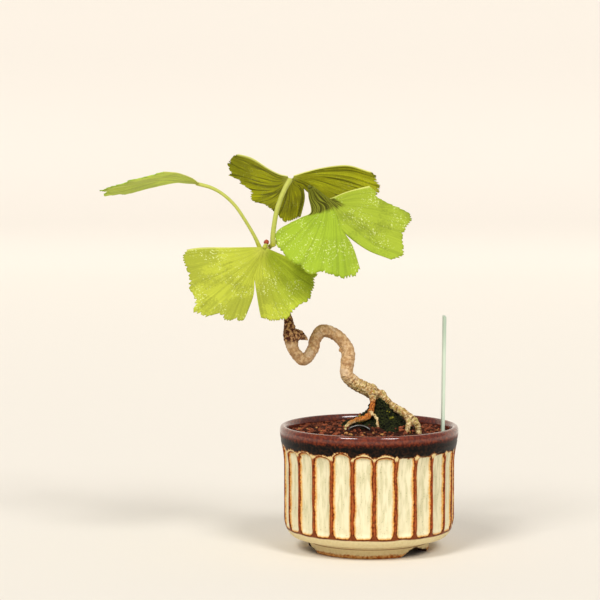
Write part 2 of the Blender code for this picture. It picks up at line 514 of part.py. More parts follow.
def blade_sheet(leaf, per_rib, coarse, fine):
    """Points and triangles of the blade's middle surface."""
    lobes = full_ribs(leaf)
    ends = leaf["first_ends"], leaf["second_ends"]
    points, number = [], {}

    def point(which, column, at):
        if which == 1 and column == 0 and at <= SLIT_AT:
            which, column = 0, (len(lobes[0]) - 1) * per_rib
        key = (which, column, at)
        if key not in number:
            beyond = max(0.0, at - TEETH_FROM) / (1.0 - TEETH_FROM)
            number[key] = len(points)
            drawn_in = beyond * (1.0 - ends[which][column])
            points.append(blade_point(lobes, which, column, per_rib, at - drawn_in))
        return number[key]

    faces = []
    for which, ribs in enumerate(lobes):
        for cell in range(len(ribs) - 1):
            near, far = cell * per_rib, (cell + 1) * per_rib
            for a, b in zip(coarse, coarse[1:]):
                p, q, r, s = point(which, near, a), point(which, far, a), point(which, far, b), point(which, near, b)
                faces += [(p, q, r), (p, r, s)]
            outer = [point(which, near + j, fine[0]) for j in range(per_rib + 1)]
            p, q = point(which, near, coarse[-1]), point(which, far, coarse[-1])
            middle = (per_rib + 1) // 2
            faces += [(p if j < middle else q, outer[j + 1], outer[j]) for j in range(per_rib)]
            faces.append((p, q, outer[middle]))
            for a, b in zip(fine, fine[1:]):
                for j in range(near, far):
                    p, q, r, s = point(which, j, a), point(which, j + 1, a), point(which, j + 1, b), point(which, j, b)
                    faces += [(p, q, r), (p, r, s)]
    return np.array(points), faces


def point_normals(points, faces, rounds):
    """Normals of the sheet's points, evened out so that both faces keep clear at a fold."""
    normals = np.zeros_like(points)
    for a, b, c in faces:
        way = np.cross(points[b] - points[a], points[c] - points[a])
        size = np.linalg.norm(way)
        if size > 1e-9:
            for corner in (a, b, c):
                normals[corner] += way / size
    edges = np.array(sorted({tuple(sorted(e)) for f in faces for e in zip(f, f[1:] + f[:1])}))
    for step in range(rounds + 1):
        normals /= np.linalg.norm(normals, axis=1)[:, None]
        if step < rounds:
            summed = normals.copy()
            np.add.at(summed, edges[:, 0], normals[edges[:, 1]])
            np.add.at(summed, edges[:, 1], normals[edges[:, 0]])
            normals = summed
    return normals


def thicken(points, faces, thickness):
    """Both faces of the sheet, split into triangles alike, with a wall along its edge."""
    normals = point_normals(points, faces, NORMAL_ROUNDS)
    count = len(points)
    both = [tuple(p) for p in points + normals * thickness / 2]
    both += [tuple(p) for p in points - normals * thickness / 2]
    made = list(faces) + [(c + count, b + count, a + count) for a, b, c in faces]
    edges = {(a, b) for face in faces for a, b in zip(face, face[1:] + face[:1])}
    for a, b in sorted(edges):
        if (b, a) not in edges:
            made += [(b, a, a + count), (b, a + count, b + count)]
    return both, made


def build_leaf(name, leaf, finish):
    points, faces = blade_sheet(leaf, COLUMNS_PER_RIB, COARSE_ROWS, FINE_ROWS)
    blade = solid(name, *thicken(points, faces, BLADE_THICK), finish)
    stalk = tube("stalk", leaf["stalk"], 8, 2)
    return combine(blade, [stalk], "UNION")


def build_wire(finish, grow=0.0, name="wire_loop"):
    route = [(*p, WIRE_RADIUS) for p in WIRE]
    return tube(name, route, 8, 2, None, grow, finish)


def build_stake(finish, grow=0.0, name="label_stake"):
    """A plain flat plastic stake, its edge to the front."""
    points = []
    half_x, half_y = STAKE_THICK / 2 + grow, STAKE_WIDE / 2 + grow
    for (cx, cy, cz), end in ((STAKE_FOOT, -grow), (STAKE_TOP, grow)):
        for sx, sy in ((-1, -1), (1, -1), (1, 1), (-1, 1)):
            points.append((cx + sx * half_x, cy + sy * half_y, cz + end))
    faces = [(3, 2, 1, 0), (4, 5, 6, 7), (0, 1, 5, 4), (1, 2, 6, 5), (2, 3, 7, 6), (3, 0, 4, 7)]
    return solid(name, points, faces, finish, smooth=False)


def main():
    clear_scene()
    glaze = material("cream_glaze", (0.74, 0.66, 0.47), 0.3)
    earth = material("red_brown_soil", (0.2, 0.09, 0.05), 0.95)
    bark_finish = material("tan_bark", (0.5, 0.34, 0.19), 0.8)
    bud_finish = material("red_brown_bud", (0.36, 0.09, 0.04), 0.6)
    plastic = material("black_plastic", (0.03, 0.03, 0.03), 0.5)
    metal = material("dull_wire", (0.45, 0.44, 0.42), 0.4, 1.0)
    pale = material("mint_white_plastic", (0.78, 0.86, 0.74), 0.4)
    build_pot(glaze)
    build_drain_mesh(plastic)
    holes = trunk_pieces(GAP) + [build_wire(None, GAP, "wire_hole"), build_stake(None, GAP, "stake_hole")]
    build_soil(earth, holes)
    build_trunk(bark_finish)
    build_bud(bud_finish)
    build_wire(metal)
    build_stake(pale)
    leaves = (("leaf_left", LEAF_LEFT, (0.42, 0.52, 0.12)), ("leaf_top", LEAF_TOP, (0.33, 0.36, 0.03)),
              ("leaf_right", LEAF_RIGHT, (0.42, 0.58, 0.06)), ("leaf_front", LEAF_FRONT, (0.55, 0.62, 0.05)))
    for name, leaf, colour in leaves:
        build_leaf(name, leaf, material(name + "_green", colour, 0.5))


main()
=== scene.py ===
"""Dresses the ginkgo bonsai and its pot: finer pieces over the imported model, their materials, the
light and the camera.

Design points are in millimetres, measured from the pot's own axis (x to the right, y away from
the front, z up from the table), as in the part's source. They become metres when a mesh is made.
"""
import random
from math import cos, exp, hypot, pi, radians, sin, sqrt

import bmesh
import bpy
import numpy as np
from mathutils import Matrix, Vector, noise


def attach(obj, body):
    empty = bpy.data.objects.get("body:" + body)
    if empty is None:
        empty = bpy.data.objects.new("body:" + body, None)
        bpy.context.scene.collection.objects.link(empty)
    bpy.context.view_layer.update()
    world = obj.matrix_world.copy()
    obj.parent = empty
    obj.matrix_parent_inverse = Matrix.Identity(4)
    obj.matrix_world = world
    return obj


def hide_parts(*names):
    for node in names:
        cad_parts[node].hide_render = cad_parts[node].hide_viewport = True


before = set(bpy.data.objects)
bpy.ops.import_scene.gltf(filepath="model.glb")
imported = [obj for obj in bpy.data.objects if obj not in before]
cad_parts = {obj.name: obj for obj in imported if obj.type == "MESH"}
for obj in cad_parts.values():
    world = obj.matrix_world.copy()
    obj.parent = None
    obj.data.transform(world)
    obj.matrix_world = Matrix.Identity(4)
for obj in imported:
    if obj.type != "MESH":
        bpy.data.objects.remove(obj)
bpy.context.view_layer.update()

MM = 0.001
MIX_ONE, MIX_TWO, MIX_RESULT = 6, 7, 2  # numbers of the colour sockets of a node that mixes
POT_X = 38.0  # from the middle of the whole plant to the pot's axis

# Camera and light
CAMERA_PLACE = (0.009, -1.0, 0.189)  # metres
CAMERA_TILT = radians(85.2)
CAMERA_LENS, CAMERA_SENSOR = 144.0, 36.0
BACKDROP_BEND, BACKDROP_DEPTH, BACKDROP_TOP, BACKDROP_WIDE = 1.2, 1.6, 3.0, 6.0  # metres
FLOOR_FRONT = -3.0

WORLD_STRENGTH = 0.35
SOFT_ANGLE = radians(20.0)
# azimuth from the front towards the right, elevation and strength
SOFT_LIGHTS = (("light_left", -33.0, 44.0, 1.75), ("light_right", 30.0, 42.0, 1.55))

# Pot
FLUTES = 25
FLUTE_COLUMNS = 24
FLUTE_DEPTH = 1.3
FLUTE_TURN = radians(1.8)
FLUTE_FOOT, FLUTE_ARCH = 9.8, 41.0
FLUTE_FOOT_RISE = 2.4  # how much lower a flute reaches in its middle than at its ridges
# height of each flute's arch, counted to the right from the one right of the front ridge
ARCH_TOPS = (44.1, 44.6, 44.2, 44.8, 44.3, 44.6, 44.0, 44.9, 44.4, 43.9, 44.7, 44.3, 45.0,
             44.1, 44.6, 43.9, 44.4, 44.9, 44.2, 44.6, 43.8, 44.4, 43.7, 45.5, 44.5)
DRIPPED = (1, 2, 3, 4, 5, 8, 9, 13, 16)  # the flutes whose arches the dark glaze runs over
DRIP_EDGE, BLACK_EDGE, ARCH_GAP = 42.9, 43.5, 0.5  # where the dark glaze ends below
RIDGE_WAVER = 0.6
LINE_HALF = 0.68  # half the width of the rust line on a ridge
WALL_RADIUS = 35.8
ROUND_TOP, ROUND_TALL, ROUND_IN = 14.5, 8.8, 5.2  # the wall's rounded bottom
FLARE_FROM, FLARE_TALL, FLARE_OUT = 37.0, 8.4, 1.1
FOOT_RADIUS, FOOT_HOLLOW = 25.3, 20.8
FLOOR_BELOW, FLOOR_TOP = 4.8, 8.6
DRAIN_RADIUS = 5.0
NOTCHES = ((-38.0, 9.0), (78.0, 8.4), (191.0, 8.0))
NOTCH_ARCH = ((-1.0, 0.0), (-0.97, 0.5), (-0.78, 1.5), (-0.49, 2.9), (-0.16, 3.5), (0.2, 2.5),
              (0.58, 1.7), (0.88, 1.3), (0.98, 0.6), (1, 0))
FOOT_PROFILE = (
    (24.3, 0), (24.7, 0.05), (25.05, 0.3), (25.3, 0.8), (25.35, 1.4), (25.35, 2.2), (25.45, 3.2),
    (25.6, 3.9), (25.85, 4.3), (26, 4.6), (25.9, 4.9), (26.1, 5.1), (27.3, 5.2), (28.6, 5.35),
    (29.8, 5.6))
LIP_PROFILE = (
    (37, 46.6), (37.15, 47.4), (37.3, 48.4), (37.45, 49.4), (37.5, 50.4), (37.45, 51.1),
    (37.3, 51.7), (36.95, 52.2), (36.4, 52.45), (35.8, 52.5), (35.3, 52.3), (34.9, 51.9),
    (34.55, 51.2), (34.35, 50.4))
INSIDE_PROFILE = (
    (34.25, 49.2), (34.15, 48), (34.1, 47), (33.7, 38), (33.2, 30), (32.6, 16), (29.6, 10.6),
    (26, 9), (DRAIN_RADIUS + 8, FLOOR_TOP), (DRAIN_RADIUS + 0.4, FLOOR_TOP),
    (DRAIN_RADIUS, FLOOR_TOP - 0.4))
UNDER_PROFILE = (
    (DRAIN_RADIUS, FLOOR_BELOW + 0.4), (DRAIN_RADIUS + 0.4, FLOOR_BELOW),
    (FOOT_HOLLOW - 0.8, FLOOR_BELOW), (FOOT_HOLLOW - 0.1, 4.1), (FOOT_HOLLOW, 3.2),
    (FOOT_HOLLOW, 0.7), (FOOT_HOLLOW + 0.25, 0.2), (FOOT_HOLLOW + 0.7, 0))
# lowest ring, highest ring and number of rings for each stretch of the fluted wall
WALL_STRETCHES = ((6.2, 14.4, 15), (15.4, 39.0, 20), (39.6, 46.2, 27))

# Soil
SOIL_LEVEL = 49.3
SOIL_SIDE = ((31.0, 10.4), (32.2, 16.0), (32.85, 30.0), (33.7, SOIL_LEVEL - 2.3))
SOIL_EDGE, SOIL_TURNS, SOIL_RINGS = 33.75, 120, 46
# middle (x, y), height and spread of each rise
MOUNDS = ((-2, -1, 5.5, 12), (6.5, 1.5, 6.8, 5.5), (4.5, -2, 4.5, 4), (11, -5, 2, 4.5))
MOSS_SPOTS = ((7.0, -3.0, 1.5, 130.0), (-6.5, -5.0, 0.9, 45.0))  # x, y, strength and spread
GRAINS, GRAIN_SIZES, GRAIN_REACH = 1500, (0.35, 0.95), 33.0

# Trunk, twig and roots, as (x, y, z, radius)
TRUNK = (
    (5.5, 2.5, 57, 2.2), (4.5, 1.2, 62.5, 2.6), (1.2, -0.3, 66.3, 3), (-1.8, -1, 68, 2.8),
    (-6.3, -1.5, 70.5, 2.8), (-9.5, -2, 74.3, 2.75), (-8.8, -1, 82, 2.9), (-10.2, 0, 86.5, 2.6),
    (-14, 1, 90.3, 2.6), (-19.5, 1, 92, 2.7), (-22.6, 0, 88.6, 2.5), (-23.6, -1, 84.5, 2.45),
    (-27.5, -2, 80, 2.45), (-31.7, -3, 84.5, 2.4), (-33, -3, 90.5, 3), (-34, -2, 97.5, 1.75),
    (-37, -1, 107, 1.6), (-40.5, 0, 117.5, 1.5), (-43, 0, 124.5, 1.7), (-43, 0, 127.4, 1.1))
ROOT_RIGHT = (
    (4.5, -1, 66.3, 1.8), (7.2, -2.5, 63.1, 1.5), (9.8, -4, 60.9, 1.55), (13, -6, 59.1, 1.65),
    (15.9, -8, 57.1, 1.75), (18.5, -10, 55.4, 1.7), (20, -11, 53.1, 1.3), (20.2, -12, 50.5, 1.1),
    (20.2, -12.5, 46.5, 0.8))
ROOT_FRONT = (
    (1.5, -1.5, 66.6, 2), (1.3, -3.5, 64.8, 1.5), (1.4, -5, 62.5, 1.2), (0.8, -6.5, 60, 1.2),
    (0.3, -8, 58.1, 1.25), (-1.4, -9.5, 56.8, 1.2), (-3.5, -10.5, 56.2, 1.2), (-6.5, -11, 55.6, 1),
    (-9.1, -11.5, 54, 0.9), (-11.2, -12, 50, 0.8))
ROOT_SMALL = (
    (0.4, -8, 58.5, 0.9), (1.9, -9.5, 57.7, 0.65), (2.9, -10.5, 56.3, 0.6), (3.2, -11.5, 54.2, 0.6),
    (3.2, -12, 50, 0.6))
ROOT_FORK = (
    (15.5, -8.5, 56.7, 1.2), (16.1, -10.5, 54.9, 1.1), (15.8, -12, 52.7, 1), (15.4, -13, 48.5, 0.7))
ROOT_BACK = (
    (4, 1.5, 64, 2), (4.5, 6, 60, 1.7), (2, 10.5, 55.5, 1.4), (-2, 13.5, 51.5, 1.1),
    (-3, 14.5, 46, 0.8))
SPUR = (
    (-32, -3, 91, 2.4), (-29.6, -3.2, 90.6, 2.3), (-27.6, -3.6, 89.8, 1.35), (-25.6, -4, 88.6, 0.3))
SCAR_LOW = ((-10, -1, 83, 1.2), (-12.6, -1.4, 84.2, 1.2 * 0.55))
SCAR_HIGH = ((-18.5, 1, 91, 1.3), (-18.9, -1.6, 93, 1.3 * 0.55))
BARK_GRID = 0.28
GRAIN_START = (0.3, 1.0, 0.1)  # turns the bark's grain about the trunk

# Bud, wire loop and label stake
BUD_CENTRE, BUD_RADIUS = (-43, 0, 129.2), 1.1
WIRE_RADIUS = 0.6
WIRE = ((-8.9, -15, 46.5), (-8.6, -15, 52.2), (-6.6, -15, 53.7), (-4, -15.2, 54.1),
        (-1.4, -15.4, 53.3), (0.2, -15.5, 51.5), (0.6, -15.5, 46))
STAKE_FOOT, STAKE_TOP = (30.4, -7, 36), (31, -7, 99)
STAKE_THICK, STAKE_WIDE, STAKE_ROUND = 1.3, 7.0, 0.35

# The corner at the folded base of the right-hand leaf, painted dark olive as shade, clockwise as
# (x, z)
FOLD_SHADE_CORNER = ((-26.6, 155), (-10, 145), (-17, 143.2), (-25.4, 140.6))

# Leaves: ribs of four points each that leave the end of the stalk, in two lobes, and how far along
# the ribs the blade ends, in per cent, at three places from one rib to the next
BLADE_THICK = 0.45
RIB_COLUMNS = 12
SLIT_AT, TEETH_FROM = 0.5, 0.6
ROWS_TO_SLIT, ROWS_BEYOND = 14, 22
SWAY, PLEAT, PLEATS = 0.5, 0.05, 150.0
LEAF_RIGHT = {
    "stalk": ((-42.3, 2.8, 126.6, 1), (-39, 4, 129.2, 0.9), (-33.5, 1, 132.5, 0.85),
              (-28, -3.5, 136, 0.85), (-23.5, -6.5, 140.5, 0.85), (-22, -9, 146, 0.85),
              (-23.4, -11.4, 150.6, 0.85), (-25.2, -13.4, 153, 0.75)),
    "base": (-25.8, -14.2, 154.6), "reach": 2.8,
    "first": (
        ((-25.5, -14, 148.5), (-24.5, -15, 142.5), (-28, -17.5, 140.5), (-33, -20, 138.5)),
        ((-25, -14, 148), (-23, -15.5, 142.5), (-30, -20, 138.5), (-40, -24, 133.5)),
        ((-23.5, -14, 148), (-21, -15.5, 143), (-28, -22, 134.5), (-37, -27, 125)),
        ((-22.5, -14, 147.5), (-18.5, -16, 143.5), (-22, -24, 130.5), (-27.5, -30, 118)),
        ((-21, -14, 147.5), (-16.5, -16.5, 144), (-17, -25, 129.5), (-19, -32, 117)),
        ((-19.5, -14, 147.5), (-14.5, -18.5, 141.5), (-12.5, -25.5, 129), (-11, -32, 115)),
        ((-17.5, -14, 147), (-12, -21, 136), (-7.5, -26, 129), (-4, -31, 118))),
    "second": (
        ((-17.5, -14, 147), (-12, -21, 136), (-2.5, -24, 128), (10, -27, 123)),
        ((-17, -14, 147), (-9, -18.5, 140), (2, -21.5, 132.5), (14.5, -25, 127.5)),
        ((-16.5, -13, 147.5), (-8.5, -15.5, 143), (2.5, -18.5, 139), (15.5, -22, 135.5)),
        ((-18, -12, 148), (-10, -13, 145), (1.5, -15, 143.5), (18, -19, 140.5)),
        ((-20.5, -11, 148.5), (-13.5, -10.5, 146.5), (-4.5, -11.5, 147.5), (8.5, -14, 146.5)),
        ((-23, -10.5, 150), (-18, -9.5, 147.5), (-10, -9, 150.5), (1, -11, 153.5))),
    "first_ends": (100, 100, 98, 98, 98, 98, 97, 98, 96, 98, 99, 96, 97, 97, 97, 98, 98, 99, 96),
    "second_ends": (97, 100, 100, 98, 96, 96, 98, 98, 98, 98, 100, 100, 96, 94, 98, 97)}
LEAF_TOP = {
    "stalk": ((-40.2, 0.6, 127.6, 1.15), (-40.3, 0.3, 132, 1.05), (-39, 1, 141, 1),
              (-37, 1.8, 147.5, 1), (-35, 2.6, 152, 1.05), (-33, 3.2, 155.4, 1.1)),
    "base": (-33, 3.2, 156.3), "reach": 1.5,
    "first": (
        ((-38, 6, 157.5), (-43, 9, 160), (-49.5, 11, 164), (-56.5, 13, 166)),
        ((-38, 8, 155.5), (-44, 13, 157.5), (-51.5, 17, 159.5), (-59.5, 19, 163.5)),
        ((-38, 9, 154), (-44, 15, 154), (-51.5, 20, 156), (-61, 22, 158)),
        ((-38, 10, 152.5), (-42.5, 16, 151), (-48.5, 21, 151.5), (-57, 24, 153.5)),
        ((-37, 10, 151), (-40.5, 16, 148.5), (-45.5, 21, 147), (-52, 24, 146)),
        ((-36, 10, 150), (-38.5, 16, 146), (-41.5, 21, 143.5), (-45, 24, 142)),
        ((-34.5, 10, 150), (-36, 16, 145), (-37.5, 21, 141.5), (-39.5, 24, 137.5)),
        ((-33, 9, 151), (-33, 15, 145.5), (-33.5, 20, 140.5), (-34, 23, 135)),
        ((-31, 6.5, 154), (-28, 9.5, 152), (-27, 15.5, 146.5), (-29, 21, 137.5))),
    "second": (
        ((-31, 6.5, 154), (-28, 9.5, 152), (-21.5, 15, 146), (-13, 20, 141)),
        ((-28.5, 6, 155), (-23.5, 9, 153), (-14.5, 14, 148), (-4.5, 18, 143.5)),
        ((-27.5, 6, 156), (-20.5, 9, 155), (-10.5, 12, 152), (3, 15, 147.5)),
        ((-27, 5, 157), (-19.5, 7, 157), (-8, 10, 155.5), (6, 13, 150.5)),
        ((-26.5, 4.5, 158), (-19, 6, 159), (-7, 8, 159), (5, 11, 155)),
        ((-26, 4, 158.5), (-19.5, 5, 160), (-9, 6, 161), (3, 8, 157.5))),
    "first_ends": (
        95, 98, 98, 98, 99, 96, 94, 99, 90, 94, 84, 88, 94, 94, 83, 85, 85, 86, 88, 91, 94, 92,
        93, 96, 97),
    "second_ends": (100, 100, 100, 100, 100, 100, 100, 99, 99, 98, 98, 96, 96, 97, 96, 97)}
LEAF_FRONT = {
    "stalk": ((-43, -2.3, 126.3, 1), (-43, -7, 128, 0.9), (-43.3, -11, 128.4, 0.9),
              (-43.6, -14, 127.8, 1)),
    "base": (-43.6, -14.3, 128), "reach": 1,
    "first": (
        ((-51.5, -15.5, 128), (-60.5, -17, 128), (-69.5, -18, 128), (-77, -20, 127)),
        ((-51, -17, 126), (-59.5, -20, 124), (-68.5, -23, 122.5), (-77.5, -25, 121)),
        ((-50.5, -18, 123.5), (-58, -22, 119.5), (-66, -26, 116), (-76, -29, 111.5)),
        ((-49.5, -18.5, 121.5), (-56.5, -23.5, 115), (-64, -28, 109), (-73.5, -32, 101.5)),
        ((-48.5, -18.5, 120), (-54, -24, 112), (-59.5, -30, 105), (-67, -33, 98.5)),
        ((-47.5, -18, 120.5), (-51.5, -24, 112.5), (-55, -29.5, 104.5), (-58.5, -33, 97)),
        ((-46.5, -17.5, 121.5), (-49, -22, 115), (-51, -28, 106), (-52.5, -32, 97.5)),
        ((-45.5, -17, 122), (-47.5, -20, 117), (-48, -25.5, 109), (-50.5, -30, 102))),
    "second": (
        ((-45.5, -17, 122), (-47.5, -20, 117), (-46.5, -25, 108.5), (-44.5, -29, 99)),
        ((-44.5, -16.5, 122), (-44.5, -20, 115.5), (-42, -24, 106.5), (-39, -27, 97.5)),
        ((-42.5, -16, 121.5), (-40.5, -18, 115), (-37, -21, 107), (-32, -24, 99.5)),
        ((-41, -15, 122.5), (-37.5, -16, 117), (-32, -17.5, 110.5), (-24.5, -19.5, 104)),
        ((-40, -14, 124), (-35.5, -13.5, 120), (-29.5, -14, 115), (-21.5, -14.5, 110)),
        ((-39, -13, 126), (-34.5, -12, 124), (-28, -11, 121), (-21.5, -11.5, 116.5))),
    "first_ends": (
        95, 99, 98, 96, 94, 94, 96, 93, 93, 97, 94, 94, 86, 86, 92, 93, 90, 94, 95, 95, 96, 97),
    "second_ends": (97, 97, 97, 97, 97, 98, 96, 93, 91, 94, 95, 94, 95, 95, 95, 100)}
LEAF_LEFT = {
    "stalk": ((-45.8, -0.4, 127, 0.95), (-48, -0.8, 131.8, 0.75), (-51.6, -1, 138, 0.7),
              (-56, -1, 144.5, 0.7), (-61, -1, 149.2, 0.7), (-66, -0.5, 152, 0.75),
              (-72.2, 0, 153.7, 0.8)),
    "base": (-70.6, 0, 153.4), "reach": 1.2,
    "first": (
        ((-73.5, -7, 156), (-76.5, -15, 157.5), (-80, -23, 159), (-84.5, -31, 159.5)),
        ((-75.5, -7, 156), (-80.5, -14, 157.5), (-86.5, -21, 158), (-92.5, -28, 157)),
        ((-77.5, -4.5, 155.5), (-84.5, -9.5, 156.5), (-93, -15, 155.5), (-102.5, -20, 154.5)),
        ((-78.5, -1, 155), (-88, -2, 155), (-98.5, -5, 153), (-112, -8.5, 151))),
    "second": (
        ((-78.5, -1, 155), (-88, -2, 155), (-99, 1, 153), (-114, 3.5, 150.5)),
        ((-78, 3.5, 154.5), (-87.5, 8, 154.5), (-99, 13, 151), (-112, 17.5, 148)),
        ((-76.5, 7, 154), (-83.5, 13, 154), (-91.5, 20, 152), (-101.5, 26, 148.5)),
        ((-74.5, 7, 153.5), (-78.5, 14, 153.5), (-83, 21.5, 153.5), (-89.5, 29.5, 152.5))),
    "first_ends": (97, 100, 93, 98, 95, 100, 92, 97, 100, 98),
    "second_ends": (98, 94, 98, 100, 93, 97, 95, 100, 94, 98)}


def seen(red, green, blue):
    """A colour as it is read on a screen, 0 to 255, as the shaders want it."""
    return tuple((c / 255 / 12.92) if c < 10.3 else ((c / 255 + 0.055) / 1.055) ** 2.4
                 for c in (red, green, blue)) + (1.0,)


def rough(*place):
    """Smooth random relief, between -1 and 1, at a place."""
    return noise.noise(Vector(place))


def scaled(colour, red, green, blue):
    """The colour with each part made lighter or darker, up to the brightest that a screen shows."""
    return tuple(min(255, part * share) for part, share in zip(colour, (red, green, blue)))


class Finish:
    """A node material, with short ways to add what its colour, gloss and relief are made of.

    A colour is either what another node gives or three numbers, as it is read on a screen. The
    roughness and the gloss, which is how strongly it mirrors, go from 0 to 1.
    """

    def __init__(self, name, roughness, gloss, **sockets):
        self.material = bpy.data.materials.new(name)
        self.material.use_nodes = True
        self.tree = self.material.node_tree
        self.shader = self.tree.nodes["Principled BSDF"]
        self.set(roughness=roughness, specular_ior_level=gloss, **sockets)
        self.place = self.add("ShaderNodeTexCoord", {})["Object"]

    def add(self, kind, inputs, **settings):
        made = self.tree.nodes.new(kind)
        for setting, value in settings.items():
            setattr(made, setting, value)
        for socket, value in inputs.items():
            self.plug(made.inputs[socket], value)
        return made.outputs

    def plug(self, socket, value):
        if isinstance(value, bpy.types.NodeSocket):
            self.tree.links.new(value, socket)
        else:
            socket.default_value = seen(*value) if isinstance(value, tuple) else value

    def set(self, **sockets):
        for socket, value in sockets.items():
            socket = socket.replace("_", " ").title().replace("Ior", "IOR")
            self.plug(self.shader.inputs[socket], value)
        return self.material

    def mark(self, name, part="Fac"):
        """A value or a vector that the mesh holds for each point."""
        return self.add("ShaderNodeAttribute", {}, attribute_name=name)[part]

    def count(self, operation, one, two=0.0):
        return self.add("ShaderNodeMath", {0: one, 1: two}, operation=operation)[0]

    def plus(self, one, two, times):
        """The first value and so many times the second."""
        return self.count("ADD", one, self.count("MULTIPLY", two, times))

    def both(self, one, two):
        return self.count("MULTIPLY", one, two)

    def less(self, one, two):
        return self.count("SUBTRACT", one, two)

    def stretched(self, place, scale):
        return self.add("ShaderNodeMapping", {"Vector": place, "Scale": scale})[0]

    def noise(self, scale, detail=3.0, place=None):
        place = place or self.place
        texture = {"Vector": place, "Scale": scale, "Detail": detail}
        return self.add("ShaderNodeTexNoise", texture)["Fac"]

    def cells(self, scale):
        return self.add("ShaderNodeTexVoronoi", {"Vector": self.place, "Scale": scale})["Distance"]

    def ramp(self, value, start, end, to_start=0.0, to_end=1.0):
        """The value turned smoothly from one range to another, and held there."""
        span = {"From Min": start, "From Max": end, "To Min": to_start, "To Max": to_end}
        span["Value"] = value
        return self.add("ShaderNodeMapRange", span, interpolation_type="SMOOTHSTEP")["Result"]

    def height(self):
        """Height above the table in millimetres."""
        return self.count("DIVIDE", self.add("ShaderNodeSeparateXYZ", {0: self.place})["Z"], MM)

    def blend(self, share, one, two):
        sockets = {"Factor": share, MIX_ONE: one, MIX_TWO: two}
        return self.add("ShaderNodeMix", sockets, data_type="RGBA")[MIX_RESULT]

    def into(self, colour, new, value, start, end, share=1.0):
        """The colour, which turns into a new one as the value goes from start to end."""
        return self.blend(self.ramp(value, start, end, 0.0, share), colour, new)

    def relief(self, height, distance, strength):
        bump = {"Height": height, "Distance": distance * MM, "Strength": strength}
        self.set(normal=self.add("ShaderNodeBump", bump)["Normal"])

    def speckled(self, scale, one, two, distance, strength):
        """Fine speckle between two colours, with low relief to match."""
        fine = self.noise(scale)
        self.relief(fine, distance, strength)
        return self.blend(fine, one, two)


def band(low, high, count):
    """Faces between two closed rings of points, each given by the number of its first point."""
    return [(low + k, low + (k + 1) % count, high + (k + 1) % count, high + k)
            for k in range(count)]


def fan(start, count, tip):
    """Faces from a closed ring of points to one point."""
    return [(start + k, start + (k + 1) % count, tip) for k in range(count)]


def placed(name, data):
    """A new object in the scene."""
    made = bpy.data.objects.new(name, data)
    bpy.context.scene.collection.objects.link(made)
    return made


def add_marks(mesh, marks):
    """Gives the mesh values, or vectors, for each point."""
    for mark, values in marks.items():
        values = np.asarray(values, np.float32)
        kind, field = ("FLOAT", "value") if values.ndim == 1 else ("FLOAT_VECTOR", "vector")
        mesh.attributes.new(mark, kind, "POINT").data.foreach_set(field, values.ravel())


def mesh_object(name, points, faces, finish, marks=None, flat=False):
    """An object from design points in millimetres."""
    points = np.array(points, float)
    points[:, 0] += POT_X
    mesh = bpy.data.meshes.new(name)
    mesh.from_pydata((points * MM).tolist(), [], [tuple(map(int, f)) for f in faces])
    add_marks(mesh, marks or {})
    shape = bmesh.new()
    shape.from_mesh(mesh)
    bmesh.ops.recalc_face_normals(shape, faces=shape.faces)
    shape.to_mesh(mesh)
    shape.free()
    if not flat:
        mesh.shade_smooth()
    if finish:
        mesh.materials.append(finish)
    return placed(name, mesh)


def settle(made, slot, *nodes):
    """The piece rides on the one body and stands for these nodes, which it hides; the slot it is
    given is not used.
    """
    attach(made, "root")
    if nodes:
        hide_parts(*nodes)


def shaped(made, kind, **settings):
    """Gives the object a modifier and makes it real."""
    step = made.modifiers.new(kind.lower(), kind)
    for setting, value in settings.items():
        setattr(step, setting, value)
    bpy.context.view_layer.update()
    result = made.evaluated_get(bpy.context.evaluated_depsgraph_get())
    mesh = bpy.data.meshes.new_from_object(result)
    made.modifiers.clear()
    made.data = mesh


def step_up(value, start, end):
    """0 before the start and 1 after the end, with a smooth rise between."""
    x = np.clip((value - start) / (end - start), 0.0, 1.0)
    return x * x * (3.0 - 2.0 * x)


def spline_weights(count, at):
    """Weights of evenly numbered points for the smooth curve through them at places from 0 to 1."""
    at = np.asarray(at, float).ravel()
    place = np.clip(at, 0.0, 1.0) * (count - 1)
    i = np.minimum(place.astype(int), count - 2)
    f = place - i
    rows = np.arange(len(at))
    weights = np.zeros((len(at), count + 2))
    weights[rows, i] += 0.5 * (-f + 2 * f ** 2 - f ** 3)
    weights[rows, i + 1] += 0.5 * (2 - 5 * f ** 2 + 3 * f ** 3)
    weights[rows, i + 2] += 0.5 * (f + 4 * f ** 2 - 3 * f ** 3)
    weights[rows, i + 3] += 0.5 * (-f ** 2 + f ** 3)
    for beyond, end, before in ((0, 1, 2), (count + 1, count, count - 1)):
        weights[:, end] += 2 * weights[:, beyond]
        weights[:, before] -= weights[:, beyond]
    return weights[:, 1:-1]


def smooth_line(points, count):
    points = np.asarray(points, float)
    return spline_weights(len(points), np.linspace(0, 1, count)) @ points


def framed(route, count, start=None):
    """The smooth curve along a route of (x, y, z, radius), with two side ways and its own way at
    each point, the radii, and the distances along."""
    line = smooth_line(route, count)
    centres = line[:, :3]
    ways = np.gradient(centres, axis=0)
    ways /= np.linalg.norm(ways, axis=1)[:, None]
    along = np.concatenate([[0.0], np.cumsum(np.linalg.norm(np.diff(centres, axis=0), axis=1))])
    if start is None:
        start = (0.0, 1.0, 0.0) if abs(ways[0][1]) < 0.9 else (1.0, 0.0, 0.0)
    sides, side = [], np.cross(ways[0], start)
    for way in ways:
        side = side - way * side.dot(way)
        side /= np.linalg.norm(side)
        sides.append(side)
    sides = np.array(sides)
    return centres, sides, np.cross(ways, sides), ways, line[:, 3], along


